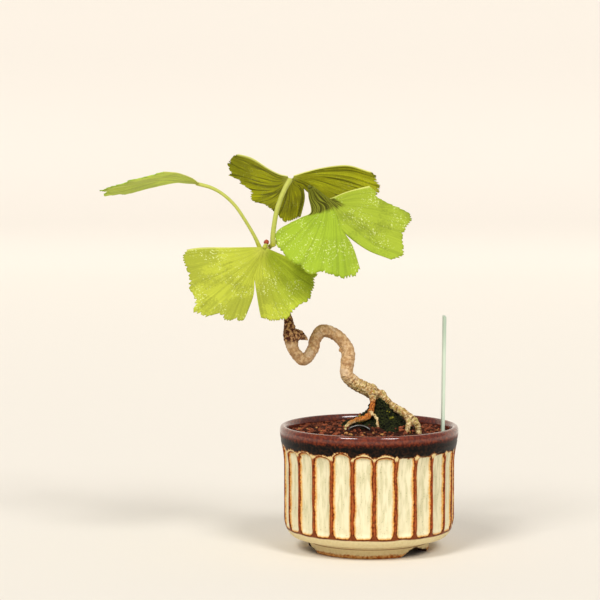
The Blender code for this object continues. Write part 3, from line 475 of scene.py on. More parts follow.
def tube_mesh(route, turns, count):
    """Points and faces of a closed tube along a route of (x, y, z, radius)."""
    centres, sides, others, ways, radii = framed(route, count)[:5]
    points, faces = [], []
    for centre, side, other, radius in zip(centres, sides, others, radii):
        for turn in np.linspace(0, 2 * pi, turns, endpoint=False):
            points.append(centre + (side * cos(turn) + other * sin(turn)) * radius)
    for i in range(count - 1):
        faces += band(i * turns, (i + 1) * turns, turns)
    for i, way in ((0, -1), (count - 1, 1)):
        faces += fan(i * turns, turns, len(points))
        points.append(centres[i] + ways[i] * way * radii[i] * 0.45)
    return np.array(points), faces


# Stage


def build_backdrop():
    """A pale floor that curves up into a backdrop."""
    floor = Finish("pale_floor", 0.9, 0.1)
    pale = floor.into((236, 229, 217), (222, 214, 203), floor.height(), -10.0, 45.0)
    floor.set(base_color=floor.into(pale, (216, 208, 197), floor.height(), 90.0, 260.0))
    line = [(FLOOR_FRONT, 0.0)]
    line += [(BACKDROP_DEPTH + BACKDROP_BEND * sin(a), BACKDROP_BEND * (1 - cos(a)))
             for a in np.linspace(0, pi / 2, 25)]
    line.append((BACKDROP_DEPTH + BACKDROP_BEND, BACKDROP_TOP))
    points = [(x, y, z) for y, z in line for x in (-BACKDROP_WIDE, BACKDROP_WIDE)]
    faces = [(2 * i, 2 * i + 1, 2 * i + 3, 2 * i + 2) for i in range(len(line) - 1)]
    mesh = bpy.data.meshes.new("backdrop")
    mesh.from_pydata(points, [], faces)
    mesh.shade_smooth()
    mesh.materials.append(floor.material)
    backdrop = placed("backdrop", mesh)


def build_lights():
    """Even light from all round, and a wide soft light from either side."""
    world = bpy.data.worlds.new("studio")
    bpy.context.scene.world = world
    world.use_nodes = True
    world.node_tree.nodes["Background"].inputs["Color"].default_value = (1.0, 1.0, 1.0, 1.0)
    world.node_tree.nodes["Background"].inputs["Strength"].default_value = WORLD_STRENGTH
    for name, azimuth, elevation, strength in SOFT_LIGHTS:
        light = bpy.data.lights.new(name, "SUN")
        light.energy, light.angle = strength, SOFT_ANGLE
        made = placed(name, light)
        turn, lift = radians(azimuth), radians(elevation)
        way = Vector((sin(turn) * cos(lift), -cos(turn) * cos(lift), sin(lift)))
        made.location = way
        made.rotation_euler = way.to_track_quat("Z", "Y").to_euler()


def build_camera():
    camera = placed("camera", bpy.data.cameras.new("camera"))
    camera.location = CAMERA_PLACE
    camera.rotation_euler = (CAMERA_TILT, 0.0, 0.0)
    camera.data.lens, camera.data.sensor_width = CAMERA_LENS, CAMERA_SENSOR
    bpy.context.scene.camera = camera
    bpy.context.scene.view_settings.view_transform = "Standard"


# Pot


def wall_radius(height):
    """Outer radius of the ridges, from the rounded bottom to the flared top."""
    drop = np.clip((ROUND_TOP - height) / ROUND_TALL, 0.0, 1.0)
    low = WALL_RADIUS - ROUND_IN * (1.0 - np.sqrt(1.0 - drop * drop))
    return low + FLARE_OUT * np.clip((height - FLARE_FROM) / FLARE_TALL, 0.0, 2.0) ** 1.5


def pot_ring(radius, height, fluted):
    """One ring of the pot: its points, how far each is inside a flute's rust line, and how far it
    is above the lower edge of the black glaze."""
    sides = FLUTES * FLUTE_COLUMNS
    share = np.arange(sides) / sides
    flute = np.floor(share * FLUTES + 1e-6).astype(int)
    across = 2.0 * (share * FLUTES - flute) - 1.0
    half_pitch = pi * WALL_RADIUS / FLUTES
    top = np.array(ARCH_TOPS)[flute % FLUTES]
    arch = FLUTE_ARCH + (top - FLUTE_ARCH) * np.sqrt(np.clip(1.0 - across ** 2, 0.0, 1.0))
    foot = FLUTE_FOOT + FLUTE_FOOT_RISE * step_up(np.abs(across), 0.55, 1.0)
    ridge = (1.0 - np.abs(across)) * half_pitch
    nearest = np.round(share * FLUTES)
    waver = np.array([rough(r % FLUTES * 3.1, height * 0.13, 2.0) for r in nearest])
    turn = -pi / 2 + FLUTE_TURN + 2 * pi * share
    turn = turn + waver * np.abs(across) ** 2 * RIDGE_WAVER / WALL_RADIUS
    if fluted:
        into_top = step_up(arch - height, 0.0, 1.3)
        into_foot = step_up(height, FLUTE_FOOT - 0.4, FLUTE_FOOT + FLUTE_FOOT_RISE)
        hollow = FLUTE_DEPTH * step_up(ridge, 0.25, 1.7) * (0.75 + 0.25 * step_up(ridge, 1.0, 4.5))
        radius = radius - hollow * into_top * into_foot
    points = np.stack([radius * np.cos(turn), radius * np.sin(turn), np.full(sides, height)], 1)
    inside = np.minimum(np.minimum(ridge - LINE_HALF, arch - height), height - foot)
    dripped = np.isin(flute % FLUTES, DRIPPED)
    dripped_edge = DRIP_EDGE + 1.3 * np.abs(across) ** 3
    low_edge = np.where(dripped, dripped_edge, np.maximum(arch + ARCH_GAP, BLACK_EDGE))
    return points, inside, height - low_edge


def notch_cutter(angle, half):
    """A cutter with an arched top for one cut-out of the foot ring."""
    arch = smooth_line(NOTCH_ARCH, 37)
    arch = [(share * half, max(height, 0.0)) for share, height in arch]
    outline = [(-half, -1.0), *arch, (half, -1.0)]
    turn = radians(angle)
    points = []
    for radius in (FOOT_HOLLOW - 3.0, FOOT_RADIUS + 3.0):
        for across, height in outline:
            points.append((radius * cos(turn) - across * sin(turn),
                           radius * sin(turn) + across * cos(turn), height))
    n = len(outline)
    faces = [tuple(range(n)), tuple(range(2 * n - 1, n - 1, -1))]
    faces += [(k, k + n, (k + 1) % n + n, (k + 1) % n) for k in range(n)]
    return mesh_object("notch_cutter", points, faces, None, flat=True)


def fluted_glaze(glaze, height, fine, wander, fringe):
    """Speckled cream in the flutes, golden and then rust towards the ridges and arches."""
    streak = glaze.noise(1.0, 3.0, glaze.stretched(glaze.place, [700.0, 700.0, 130.0]))
    cream = glaze.into((210, 202, 160), (236, 226, 188), streak, 0.35, 0.62)
    cream = glaze.into(cream, (240, 229, 188), height, 24.0, 11.0, 0.6)
    specks = glaze.both(glaze.ramp(glaze.cells(1100.0), 0.26, 0.1), glaze.ramp(streak, 0.54, 0.42))
    cream = glaze.blend(glaze.both(specks, 0.7), cream, (134, 132, 88))
    line = glaze.plus(glaze.plus(glaze.mark("inside"), wander, 1.0), fringe, 0.8)
    under_arch = glaze.ramp(height, 40.0, 43.0, 0.0, 0.5)
    line = glaze.less(line, glaze.both(under_arch, glaze.ramp(line, 1.6, 0.4)))
    cream = glaze.into(cream, (220, 158, 72), line, 1.2, 0.15)
    rust = glaze.into((88, 28, 6), (152, 64, 20), fine, 0.35, 0.65)
    body = glaze.into(cream, rust, line, 0.3, 0.02)
    flare = glaze.both(glaze.ramp(height, 13.5, 10.5, 0.0, 0.7), glaze.ramp(line, 0.3, 0.0))
    body = glaze.blend(flare, body, (74, 24, 8))
    crested = glaze.ramp(line, -0.34, -0.6, 0.0, 0.85)
    crested = glaze.both(crested, glaze.ramp(height, 11.0, 13.5, 0.4, 1.0))
    body = glaze.blend(crested, body, glaze.blend(fine, (146, 68, 26), (186, 106, 54)))
    above = glaze.both(glaze.ramp(height, 41.6, 42.8), glaze.ramp(line, -0.38, -0.62))
    body = glaze.blend(above, body, (228, 202, 142))
    below = glaze.blend(fine, (214, 192, 136), (240, 226, 180))
    return glaze.into(body, below, glaze.count("ADD", height, wander), 9.5, 8.9)


def banded_glaze(glaze, body, height, fine, wander, fringe):
    """The black band with its ragged lower edge, and the red-brown lip above it."""
    drip = glaze.count("ADD", glaze.both(wander, 2.4), glaze.both(fringe, 1.8))
    drip = glaze.count("ADD", glaze.mark("edge"), drip)
    black = glaze.into((6, 4, 3), (38, 20, 10), fine, 0.45, 0.62)
    body = glaze.into(body, (150, 84, 34), drip, -0.35, 0.15)
    body = glaze.into(body, black, drip, 0.0, 0.5)
    lip = glaze.into((84, 24, 6), (122, 46, 16), fine, 0.4, 0.62)
    lip = glaze.into(lip, (60, 26, 18), glaze.noise(420.0, 4.0), 0.58, 0.68, 0.7)
    over = glaze.plus(height, fringe, 3.2)
    return glaze.into(body, lip, glaze.count("ADD", over, wander), 47.6, 49.6)


def footed_glaze(glaze, body, height, fine, wander, fringe):
    """The cream foot ring, a dark line of painted shade under the ledge above it, and bare clay
    where it stands.
    """
    # painted shade: a dark brown line where the ledge overhangs the foot ring
    body = glaze.into(body, (96, 50, 24), height, 5.3, 5.15)
    body = glaze.into(body, glaze.blend(fine, (212, 186, 128), (240, 224, 176)), height, 5.0, 4.85)
    groove = glaze.count("ABSOLUTE", glaze.less(height, 4.0))
    body = glaze.into(body, (130, 80, 40), groove, 0.32, 0.1, 0.8)
    clay = glaze.into((168, 90, 34), (216, 160, 92), fine, 0.42, 0.56)
    over = glaze.plus(height, glaze.count("ADD", wander, fringe), 1.4)
    return glaze.into(body, clay, over, 2.0, 1.2)


def pot_finish():
    """Cream glaze with rust along the flutes, a black band above them and a red-brown lip."""
    glaze = Finish("cream_glaze", 0.4, 0.12, coat_roughness=0.06, coat_ior=1.55)
    height, outer = glaze.height(), glaze.mark("outer")
    fine, broad = glaze.noise(900.0, 4.0), glaze.noise(160.0)
    wander, fringe = glaze.less(broad, 0.5), glaze.less(glaze.noise(1300.0, 2.0), 0.5)
    body = fluted_glaze(glaze, height, fine, wander, fringe)
    body = banded_glaze(glaze, body, height, fine, wander, fringe)
    body = footed_glaze(glaze, body, height, fine, wander, fringe)
    glaze.relief(glaze.plus(fine, broad, 1.5), 0.1, 0.45)
    shine = glaze.both(glaze.ramp(height, 48.6, 50.4), outer)
    wall = glaze.blend(fine, (58, 22, 12), (88, 40, 24))
    return glaze.set(base_color=glaze.blend(outer, wall, body), coat_weight=shine)


def pot_rings():
    """The pot's outline as (radius, height, fluted or not, 1 for the outside or 0 for the inside),
    from the foot up the wall, over the lip, down inside and back under the foot."""
    heights = [z for low, high, count in WALL_STRETCHES for z in np.linspace(low, high, count)]
    rings = [(r, z, False, 1.0) for r, z in FOOT_PROFILE]
    rings += [(wall_radius(z), z, True, 1.0) for z in heights]
    rings += [(r, z, False, 1.0) for r, z in LIP_PROFILE]
    rings += [(r, z, False, 0.0) for r, z in INSIDE_PROFILE]
    return rings + [(r, z, False, 1.0) for r, z in UNDER_PROFILE]


def build_pot():
    made = [(*pot_ring(r, z, fluted), outer) for r, z, fluted, outer in pot_rings()]
    points, inside, edge = [np.concatenate([m[i] for m in made]) for i in range(3)]
    outer = np.concatenate([np.full(len(m[1]), m[3]) for m in made])
    sides, faces = FLUTES * FLUTE_COLUMNS, []
    for i in range(len(made)):
        faces += band(i * sides, (i + 1) % len(made) * sides, sides)
    marks = {"inside": inside, "edge": edge, "outer": outer}
    pot = mesh_object("pot_glazed", points, faces, pot_finish(), marks)
    for angle, half in NOTCHES:
        cutter = notch_cutter(angle, half)
        shaped(pot, "BOOLEAN", operation="DIFFERENCE", solver="EXACT", object=cutter)
        bpy.data.objects.remove(cutter, do_unlink=True)
    settle(pot, "cream_glaze", "pot")


# Soil


def soil_height(x, y):
    lift = sum(h * exp(-((x - mx) ** 2 + (y - my) ** 2) / (2.0 * s * s)) for mx, my, h, s in MOUNDS)
    crumb = rough(x * 0.45, y * 0.45, 3.0) + 0.6 * rough(x, y, 8.0)
    crumb += 0.5 * rough(x * 2.3, y * 2.3, 4.0)
    return SOIL_LEVEL + lift + 0.5 * crumb


def mossy(x, y):
    """How mossy the soil is, 0 to 1: most between the roots."""
    near = sum(strength * exp(-((x - mx) ** 2 + (y - my) ** 2) / spread)
               for mx, my, strength, spread in MOSS_SPOTS)
    return min(1.0, max(0.0, near + 0.55 * rough(x * 0.25, y * 0.25, 1.0) - 0.1))


def soil_finish():
    """Red-brown baked clay with a few ochre crumbs, and dark moss where the mesh is marked."""
    soil = Finish("red_brown_soil", 0.95, 0.15)
    fine, tint = soil.noise(1500.0, 4.0), soil.mark("tint")
    earth = soil.into((56, 25, 16), (158, 84, 54), tint, 0.1, 0.95)
    earth = soil.into(earth, (190, 136, 80), tint, 0.965, 0.975)
    earth = soil.into(earth, (44, 20, 12), fine, 0.42, 0.7, 0.8)
    green = soil.into((8, 10, 4), (44, 48, 16), fine, 0.4, 0.62)
    green = soil.into(green, (132, 124, 36), tint, 0.74, 0.9)
    share = soil.plus(soil.mark("moss"), soil.less(soil.noise(260.0), 0.5), 0.8)
    soil.relief(fine, 0.3, 0.7)
    return soil.set(base_color=soil.into(earth, green, share, 0.42, 0.58))


def build_soil(finish):
    turns = np.linspace(0, 2 * pi, SOIL_TURNS, endpoint=False)
    points = [(radius * cos(a), radius * sin(a), height)
              for radius, height in SOIL_SIDE for a in turns]
    for k in range(SOIL_RINGS):
        radius = SOIL_EDGE * (1.0 - k / SOIL_RINGS)
        for a in turns:
            x, y = radius * cos(a), radius * sin(a)
            points.append((x, y, soil_height(x, y)))
    last = len(points) - SOIL_TURNS
    faces = []
    for start in range(0, last, SOIL_TURNS):
        faces += band(start, start + SOIL_TURNS, SOIL_TURNS)
    faces += fan(0, SOIL_TURNS, len(points)) + fan(last, SOIL_TURNS, len(points) + 1)
    points += [(0.0, 0.0, SOIL_SIDE[0][1]), (0.0, 0.0, soil_height(0.0, 0.0))]
    marks = {"moss": [mossy(p[0], p[1]) for p in points], "tint": np.zeros(len(points))}
    settle(mesh_object("soil_bed", points, faces, finish, marks), "red_brown_soil", "soil")


def grain_shape():
    shape = bmesh.new()
    bmesh.ops.create_icosphere(shape, subdivisions=2, radius=1.0)
    points = np.array([v.co[:] for v in shape.verts])
    faces = np.array([[v.index for v in f.verts] for f in shape.faces])
    shape.free()
    return points, faces


def build_grains(finish):
    """Loose crumbs of baked clay soil over the bed."""
    draw = random.Random(11)
    base, base_faces = grain_shape()
    points, faces, moss, tint = [], [], [], []
    for number in range(GRAINS):
        far, turn = GRAIN_REACH * sqrt(draw.random()), draw.uniform(0, 2 * pi)
        x, y = far * cos(turn), far * sin(turn)
        size = draw.uniform(*GRAIN_SIZES) * (0.75 if mossy(x, y) > 0.4 else 1.0)
        size = min(size, 0.9 + 0.05 * (GRAIN_REACH - far))
        stretch = np.array([draw.uniform(0.75, 1.25), draw.uniform(0.75, 1.25),
                            draw.uniform(0.6, 0.95)])
        seed = draw.uniform(0, 99)
        lumps = np.array([1.0 + 0.35 * rough(p[0] + seed, p[1], p[2]) for p in base])
        spin = draw.uniform(0, 6.28)
        grain = base * lumps[:, None] * stretch * size
        grain = np.stack([grain[:, 0] * cos(spin) - grain[:, 1] * sin(spin),
                          grain[:, 0] * sin(spin) + grain[:, 1] * cos(spin), grain[:, 2]], 1)
        grain += (x, y, soil_height(x, y) + size * 0.25)
        faces.append(base_faces + len(base) * number)
        points.append(grain)
        moss += [mossy(x, y) * draw.uniform(0.6, 1.15)] * len(base)
        tint += [draw.random()] * len(base)
    grains = mesh_object("soil_grains", np.concatenate(points), np.concatenate(faces).tolist(),
                         finish, {"moss": moss, "tint": tint})
    settle(grains, "red_brown_soil")


# Trunk and roots


def tan_bark(bark, fine, mid, rings, place):
    """Warm tan bark of the bent trunk, with darker rings and paler patches."""
    patch = bark.noise(0.2, 3.0, place)
    tan = bark.into((184, 140, 94), (222, 186, 140), mid, 0.35, 0.65)
    tan = bark.into(tan, (150, 104, 64), patch, 0.52, 0.68, 0.6)
    tan = bark.into(tan, (236, 210, 178), patch, 0.46, 0.34, 0.45)
    tan = bark.into(tan, (112, 74, 44), rings, 0.6, 0.7, 0.5)
    return bark.into(tan, (120, 84, 52), fine, 0.64, 0.74, 0.35)


def root_bark(bark, fine, mid, rings, place):
    """Rougher, greenish bark of the roots, rusty orange on the front one."""
    streak = bark.noise(1.0, 4.0, bark.stretched(place, [1.6, 1.6, 0.25]))
    root = bark.into((168, 120, 66), (232, 206, 152), mid, 0.36, 0.62)
    root = bark.into(root, (164, 150, 64), streak, 0.52, 0.62, 0.75)
    root = bark.into(root, (92, 56, 28), rings, 0.54, 0.64, 0.85)
    root = bark.into(root, (84, 56, 30), fine, 0.6, 0.7, 0.7)
    orange = bark.into((206, 124, 50), (120, 54, 18), fine, 0.4, 0.62)
    return bark.blend(bark.mark("rusty"), root, orange)


def twig_bark(bark, fine, rings, place):
    """Dark flaking bark of the knot and the young twig."""
    twig = bark.into((86, 38, 22), (208, 158, 108), bark.noise(0.85, 3.0, place), 0.42, 0.6)
    twig = bark.into(twig, (52, 22, 14), rings, 0.54, 0.64, 0.75)
    # painted highlights: pale tan flecks on the knot's flaking bark, where light catches it
    return bark.into(twig, (222, 180, 130), fine, 0.58, 0.68, 0.5)


def bark_finish():
    bark = Finish("tan_bark", 0.75, 0.2)
    place = bark.mark("grain", "Vector")
    fine, mid = bark.noise(2.2, 5.0, place), bark.noise(0.9, 4.0, place)
    rings = bark.noise(1.0, 3.0, bark.stretched(place, [0.3, 0.3, 2.4]))
    colour = bark.blend(bark.mark("base"), tan_bark(bark, fine, mid, rings, place),
                        root_bark(bark, fine, mid, rings, place))
    colour = bark.blend(bark.mark("twig"), colour, twig_bark(bark, fine, rings, place))
    bark.relief(bark.plus(fine, rings, 1.5), 0.3, 0.9)
    return bark.set(base_color=colour)


def grown_skin(routes):
    """All the routes' tubes grown together into one fine, even skin."""
    points, faces = [], []
    for route in routes:
        tube, tube_faces = tube_mesh(route, 20, max(8, (len(route) - 1) * 7))
        faces += [tuple(i + len(points) for i in face) for face in tube_faces]
        points += tube.tolist()
    skin = mesh_object("trunk_grown", points, faces, None)
    shaped(skin, "REMESH", mode="VOXEL", voxel_size=BARK_GRID * MM)
    shaped(skin, "SMOOTH", factor=0.5, iterations=4)
    return skin


def bark_marks(points, routes):
    """What the bark's finish reads: where the roots, the twig and the rusty root are, and each
    point's place across and along its own route."""
    frames = [framed(route, max(12, (len(route) - 1) * 12), GRAIN_START) for route in routes]
    centres, sides, others, ways, radii = [np.concatenate([f[i] for f in frames]) for i in range(5)]
    offsets = np.concatenate([f[5] + 40.0 * i for i, f in enumerate(frames)])
    nearest = np.array([np.argmin(((centres - p) ** 2).sum(1) - radii ** 2 * 0.5) for p in points])
    rel = points - centres[nearest]
    grain = np.stack([(rel * sides[nearest]).sum(1), (rel * others[nearest]).sum(1),
                      (rel * ways[nearest]).sum(1) + offsets[nearest]], 1)
    x, z = points[:, 0], points[:, 2]
    kind = np.repeat(np.arange(len(frames)), [len(f[0]) for f in frames])[nearest]
    rusty = (kind == routes.index(ROOT_FRONT)) * step_up(-z, -64.5, -62.5) * step_up(z, 54.0, 57.0)
    twig = step_up(z, 86.5, 89.0) * step_up(-x, 25.5, 27.5)
    return {"base": step_up(-z, -76.0, -68.0), "twig": twig, "rusty": rusty, "grain": grain}


def bark_lift(place, base, twig):
    """How far the skin is raised at a place in the bark's grain: more on the roots and the twig."""
    x, y, z = place
    return (0.22 * noise.noise(Vector(place) * 0.9)
            + (0.16 + 0.14 * base) * rough(x * 0.35, y * 0.35, z * (2.2 - 1.1 * base))
            + (0.1 + 0.1 * base + 0.25 * twig) * rough(x * 1.9, y * 1.9, z * 0.8))


def build_trunk():
    """The trunk, its roots, the spur and the scars in one skin, with the bark raised on it."""
    routes = [TRUNK, ROOT_RIGHT, ROOT_FRONT, ROOT_SMALL, ROOT_FORK, ROOT_BACK, SPUR, SCAR_LOW,
              SCAR_HIGH]
    trunk = grown_skin(routes)
    mesh = trunk.data
    points = np.zeros(len(mesh.vertices) * 3)
    mesh.vertices.foreach_get("co", points)
    points = points.reshape(-1, 3) / MM - (POT_X, 0, 0)
    normals = np.array([v.normal[:] for v in mesh.vertices])
    marks = bark_marks(points, routes)
    lift = np.array([bark_lift(*place)
                     for place in zip(marks["grain"], marks["base"], marks["twig"])])
    points = points + normals * lift[:, None]
    mesh.vertices.foreach_set("co", ((points + (POT_X, 0, 0)) * MM).ravel())
    add_marks(mesh, marks)
    mesh.update()
    mesh.shade_smooth()
    mesh.materials.append(bark_finish())
    settle(trunk, "tan_bark", "trunk")


# Leaves


def full_ribs(leaf):
    """The ribs of both lobes with their starts, which lie a little way from the stalk's end."""
    base = np.array(leaf["base"])
    made = []
    for lobe in (leaf["first"], leaf["second"]):
        ribs = []
        for rib in lobe:
            way = np.array(rib[0]) - base
            ribs.append(np.array([base + way / np.linalg.norm(way) * leaf["reach"], *rib], float))
        made.append(np.array(ribs))
    return made


def margin(ends, count, teeth, draw):
    """How far along its rib each column ends: the leaf's own outline with small teeth."""
    outline = np.interp(np.arange(count) * 3 / RIB_COLUMNS, range(len(ends)), ends) / 100
    return outline - np.array([draw.uniform(0.0, teeth) * (1.0 if k % 2 else 0.2)
                               for k in range(count)])


def blade_surface(leaf, teeth, seed):
    """The blade's middle surface: points, faces, and how far each point is across and along."""
    lobes = full_ribs(leaf)
    counts = [(len(ribs) - 1) * RIB_COLUMNS + 1 for ribs in lobes]
    draw = random.Random(seed)
    near, far = np.linspace(0.0, SLIT_AT, ROWS_TO_SLIT), np.linspace(SLIT_AT, 1.0, ROWS_BEYOND)
    rows = np.concatenate([near, far[1:]])
    shared = (lobes[0][-1] + lobes[1][0]) / 2
    both = np.concatenate([lobes[0][:-1], shared[None], lobes[1][1:]])
    total = counts[0] + counts[1] - 2
    points, across, along, numbers = [], [], [], []
    for which, ribs in enumerate(lobes):
        column = np.arange(counts[which])
        place = column + (counts[0] - 1 if which else 0)
        ends = margin(leaf[("first_ends", "second_ends")[which]], counts[which], teeth, draw)
        beyond = (rows[None] - TEETH_FROM) * (ends[:, None] - TEETH_FROM) / (1 - TEETH_FROM)
        at = np.where(rows[None] <= TEETH_FROM, rows[None], TEETH_FROM + beyond)
        joined = np.einsum("cn,nkx->ckx", spline_weights(len(both), place / total), both)
        own = np.einsum(
            "cn,nkx->ckx", spline_weights(len(ribs), column / (counts[which] - 1)), ribs)
        weights = spline_weights(5, at).reshape(*at.shape, 5)
        apart = step_up(at, SLIT_AT, SLIT_AT + 0.12)[..., None]
        grid = (np.einsum("crk,ckx->crx", weights, joined) * (1 - apart)
                + np.einsum("crk,ckx->crx", weights, own) * apart)
        numbers.append(len(points) + np.arange(at.size).reshape(at.shape))
        points += grid.reshape(-1, 3).tolist()
        across += np.repeat(place / total, len(rows)).tolist()
        along += at.ravel().tolist()
    joined_rows = rows <= SLIT_AT
    numbers[1][0, joined_rows] = numbers[0][-1, joined_rows]
    faces = []
    for number in numbers:
        for i in range(number.shape[0] - 1):
            for j in range(number.shape[1] - 1):
                faces.append(
                    (number[i, j], number[i + 1, j], number[i + 1, j + 1], number[i, j + 1]))
    used = sorted({int(i) for face in faces for i in face})
    new = {old: k for k, old in enumerate(used)}
    faces = [tuple(new[int(i)] for i in face) for face in faces]
    return np.array(points)[used], faces, np.array(across)[used], np.array(along)[used]


def sheet_normals(points, faces, rounds):
    """Normals of the sheet's points, evened out so that both faces keep clear at a fold."""
    faces = np.array(faces)
    ways = np.cross(points[faces[:, 2]] - points[faces[:, 0]],
                    points[faces[:, 3]] - points[faces[:, 1]])
    normals = np.zeros_like(points)
    for k in range(4):
        np.add.at(normals, faces[:, k], ways)
    edges = np.concatenate([faces[:, (k, (k + 1) % 4)] for k in range(4)])
    for step in range(rounds + 1):
        normals /= np.maximum(np.linalg.norm(normals, axis=1)[:, None], 1e-9)
        if step < rounds:
            summed = normals.copy()
            np.add.at(summed, edges[:, 0], normals[edges[:, 1]])
            np.add.at(summed, edges[:, 1], normals[edges[:, 0]])
            normals = summed
    return normals


def leaf_finish(name, upper, lower, ribbed, flecked, tinge, tinge_share, tinge_from, tinge_to):
    """A ginkgo blade with two lobes of slightly different colour, fanning veins and pale flecks.

    It is told the colours of both sides, how strong the ribs and the flecks are, and the tinge with
    its strength and where it starts and is full, from 0 at one side of the leaf to 1 at the other.
    """
    leaf = Finish(name, 0.6, 0.1)
    across, along, side, fold_shade = [leaf.mark(name) for name in ("across", "along", "upper", "fold_shade")]
    fanned = leaf.add("ShaderNodeCombineXYZ", {0: across, 1: along})[0]
    veins = leaf.noise(1.0, 3.0, leaf.stretched(fanned, [170.0, 3.0, 1.0]))
    ribs = leaf.noise(1.0, 1.0, leaf.stretched(fanned, [46.0, 1.2, 1.0]))
    fine = leaf.noise(1300.0)
    patch = leaf.count("ADD", leaf.noise(75.0), leaf.less(leaf.both(fine, 0.4), 0.2))
    patch = leaf.count("ADD", patch, leaf.less(leaf.noise(38.0, 2.0), 0.5))
    top = leaf.into(
        scaled(upper, 0.84, 0.96, 1.0), scaled(upper, 1.05, 1.02, 0.92), patch, 0.42, 0.58)
    under = leaf.into(scaled(lower, 0.88, 0.88, 0.88), lower, patch, 0.42, 0.58)
    colour = leaf.into(
        leaf.blend(side, under, top), tinge, across, tinge_from, tinge_to, tinge_share)
    dark = leaf.blend(side, scaled(lower, 0.55, 0.55, 0.55), scaled(upper, 0.62, 0.62, 0.62))
    pale = leaf.blend(side, scaled(lower, 1.3, 1.3, 1.3), scaled(upper, 1.2, 1.2, 1.2))
    colour = leaf.into(colour, dark, ribs, 0.52, 0.38, ribbed)
    colour = leaf.into(colour, pale, veins, 0.55, 0.7, ribbed)
    colour = leaf.into(colour, (206, 206, 90), along, 0.22, 0.0, 0.5)
    # painted shade: the fold corner of the right-hand leaf is coloured dark olive in place of the
    # shade that falls there
    colour = leaf.blend(fold_shade, colour, leaf.into((66, 66, 8), (128, 132, 36), ribs, 0.4, 0.58))
    spots = leaf.both(leaf.ramp(leaf.noise(1500.0, 2.0), 0.56, 0.68),
                      leaf.ramp(leaf.noise(130.0), 0.44, 0.6))
    spots = leaf.both(spots, leaf.ramp(leaf.less(along, fold_shade), 0.2, 0.5, 0.0, flecked))
    colour = leaf.blend(spots, colour, (232, 236, 158))
    # painted highlight: a pale rim along both side edges of the blade, where light catches the
    # margin
    edge_highlight = leaf.count("ABSOLUTE", leaf.less(across, 0.5))
    colour = leaf.into(colour, (222, 222, 120), edge_highlight, 0.488, 0.497, 0.75)
    leaf.relief(leaf.plus(leaf.plus(veins, leaf.noise(220.0), 2.0), fine, 0.6), 0.3, 0.9)
    return leaf.set(base_color=colour)


def painted_fold_shade(points):
    """How much painted shade the right-hand blade takes in the corner at its folded base: 1 inside
    the dark corner, 0 outside.
    """
    shade = np.ones(len(points))
    for (ax, az), (bx, bz) in zip(FOLD_SHADE_CORNER, FOLD_SHADE_CORNER[1:] + FOLD_SHADE_CORNER[:1]):
        size = hypot(bx - ax, bz - az)
        off = ((bx - ax) * (points[:, 2] - az) - (bz - az) * (points[:, 0] - ax)) / size
        shade = np.minimum(shade, step_up(-off, -0.25, 0.35))
    return shade


def build_leaf(node, leaf, seed, finish, stalk_finish, teeth):
    points, faces, across, along = blade_surface(leaf, teeth, seed)
    normals = sheet_normals(points, faces, 6)
    sway = np.array([noise.noise(Vector(p) * 0.11 + Vector((seed, 0, 0))) for p in points])
    pleat = np.sin(across * PLEATS) * PLEAT * step_up(along, 0.15, 0.5)
    points = points + normals * (SWAY * sway * step_up(along, 0.2, 0.8) + pleat)[:, None]
    count = len(points)
    both = np.concatenate([points + normals * BLADE_THICK / 2, points - normals * BLADE_THICK / 2])
    made = list(faces) + [tuple(i + count for i in reversed(face)) for face in faces]
    edges = {(a, b) for face in faces for a, b in zip(face, face[1:] + face[:1])}
    made += [(b, a, a + count, b + count) for a, b in sorted(edges) if (b, a) not in edges]
    marks = {"across": np.tile(across, 2), "along": np.tile(along, 2),
             "upper": np.concatenate([np.ones(count), np.zeros(count)]),
             "fold_shade": painted_fold_shade(both) if leaf is LEAF_RIGHT else np.zeros(2 * count)}
    settle(mesh_object(node + "_blade", both, made, finish, marks), "leaf_green", node)
    stalk, stalk_faces = tube_mesh(leaf["stalk"], 16, 60)
    # painted shade on the right-hand stalk where it runs into the leaf's fold
    fold_shade = step_up(stalk[:, 2], 144.0, 150.0) if leaf is LEAF_RIGHT else np.zeros(len(stalk))
    stalk = mesh_object(node + "_stalk", stalk, stalk_faces, stalk_finish, {"fold_shade": fold_shade})
    settle(stalk, "leaf_green", node)


def stalk_finish():
    """Pale green stalk, painted dark as shade inside the fold, and leaf-coloured near the bud."""
    stalk = Finish("leaf_stalk", 0.5, 0.2)
    colour = stalk.speckled(500.0, (168, 178, 66), (206, 204, 106), 0.1, 0.5)
    # painted shade inside the fold
    colour = stalk.blend(stalk.mark("fold_shade"), colour, (96, 100, 20))
    colour = stalk.into(colour, (176, 176, 44), stalk.height(), 129.6, 128.4, 0.7)
    return stalk.set(base_color=colour)


def build_leaves():
    stalks = stalk_finish()
    yellow = leaf_finish("leaf_yellow_green", (204, 213, 30), (184, 190, 60), 0.2, 0.7,
                         (172, 204, 30), 0.4, 0.6, 0.95)
    bright = leaf_finish("leaf_bright_green", (190, 202, 36), (160, 176, 50), 0.2, 0.6,
                         (156, 186, 44), 0.6, 0.66, 0.42)
    olive = leaf_finish("leaf_olive", (156, 160, 24), (160, 162, 18), 0.8, 0.15,
                        (206, 210, 44), 0.5, 0.55, 0.85)
    grey = leaf_finish("leaf_grey_green", (176, 206, 50), (204, 222, 84), 0.35, 0.1,
                       (190, 214, 60), 0.3, 0.3, 0.7)
    build_leaf("leaf_left", LEAF_LEFT, 21, grey, stalks, 0.04)
    build_leaf("leaf_top", LEAF_TOP, 22, olive, stalks, 0.05)
    build_leaf("leaf_right", LEAF_RIGHT, 23, bright, stalks, 0.025)
    build_leaf("leaf_front", LEAF_FRONT, 24, yellow, stalks, 0.035)


# Small things


def bud_finish():
    bud = Finish("red_brown_bud", 0.45, 0.4)
    return bud.set(base_color=bud.speckled(1500.0, (120, 34, 20), (196, 84, 48), 0.1, 0.6))


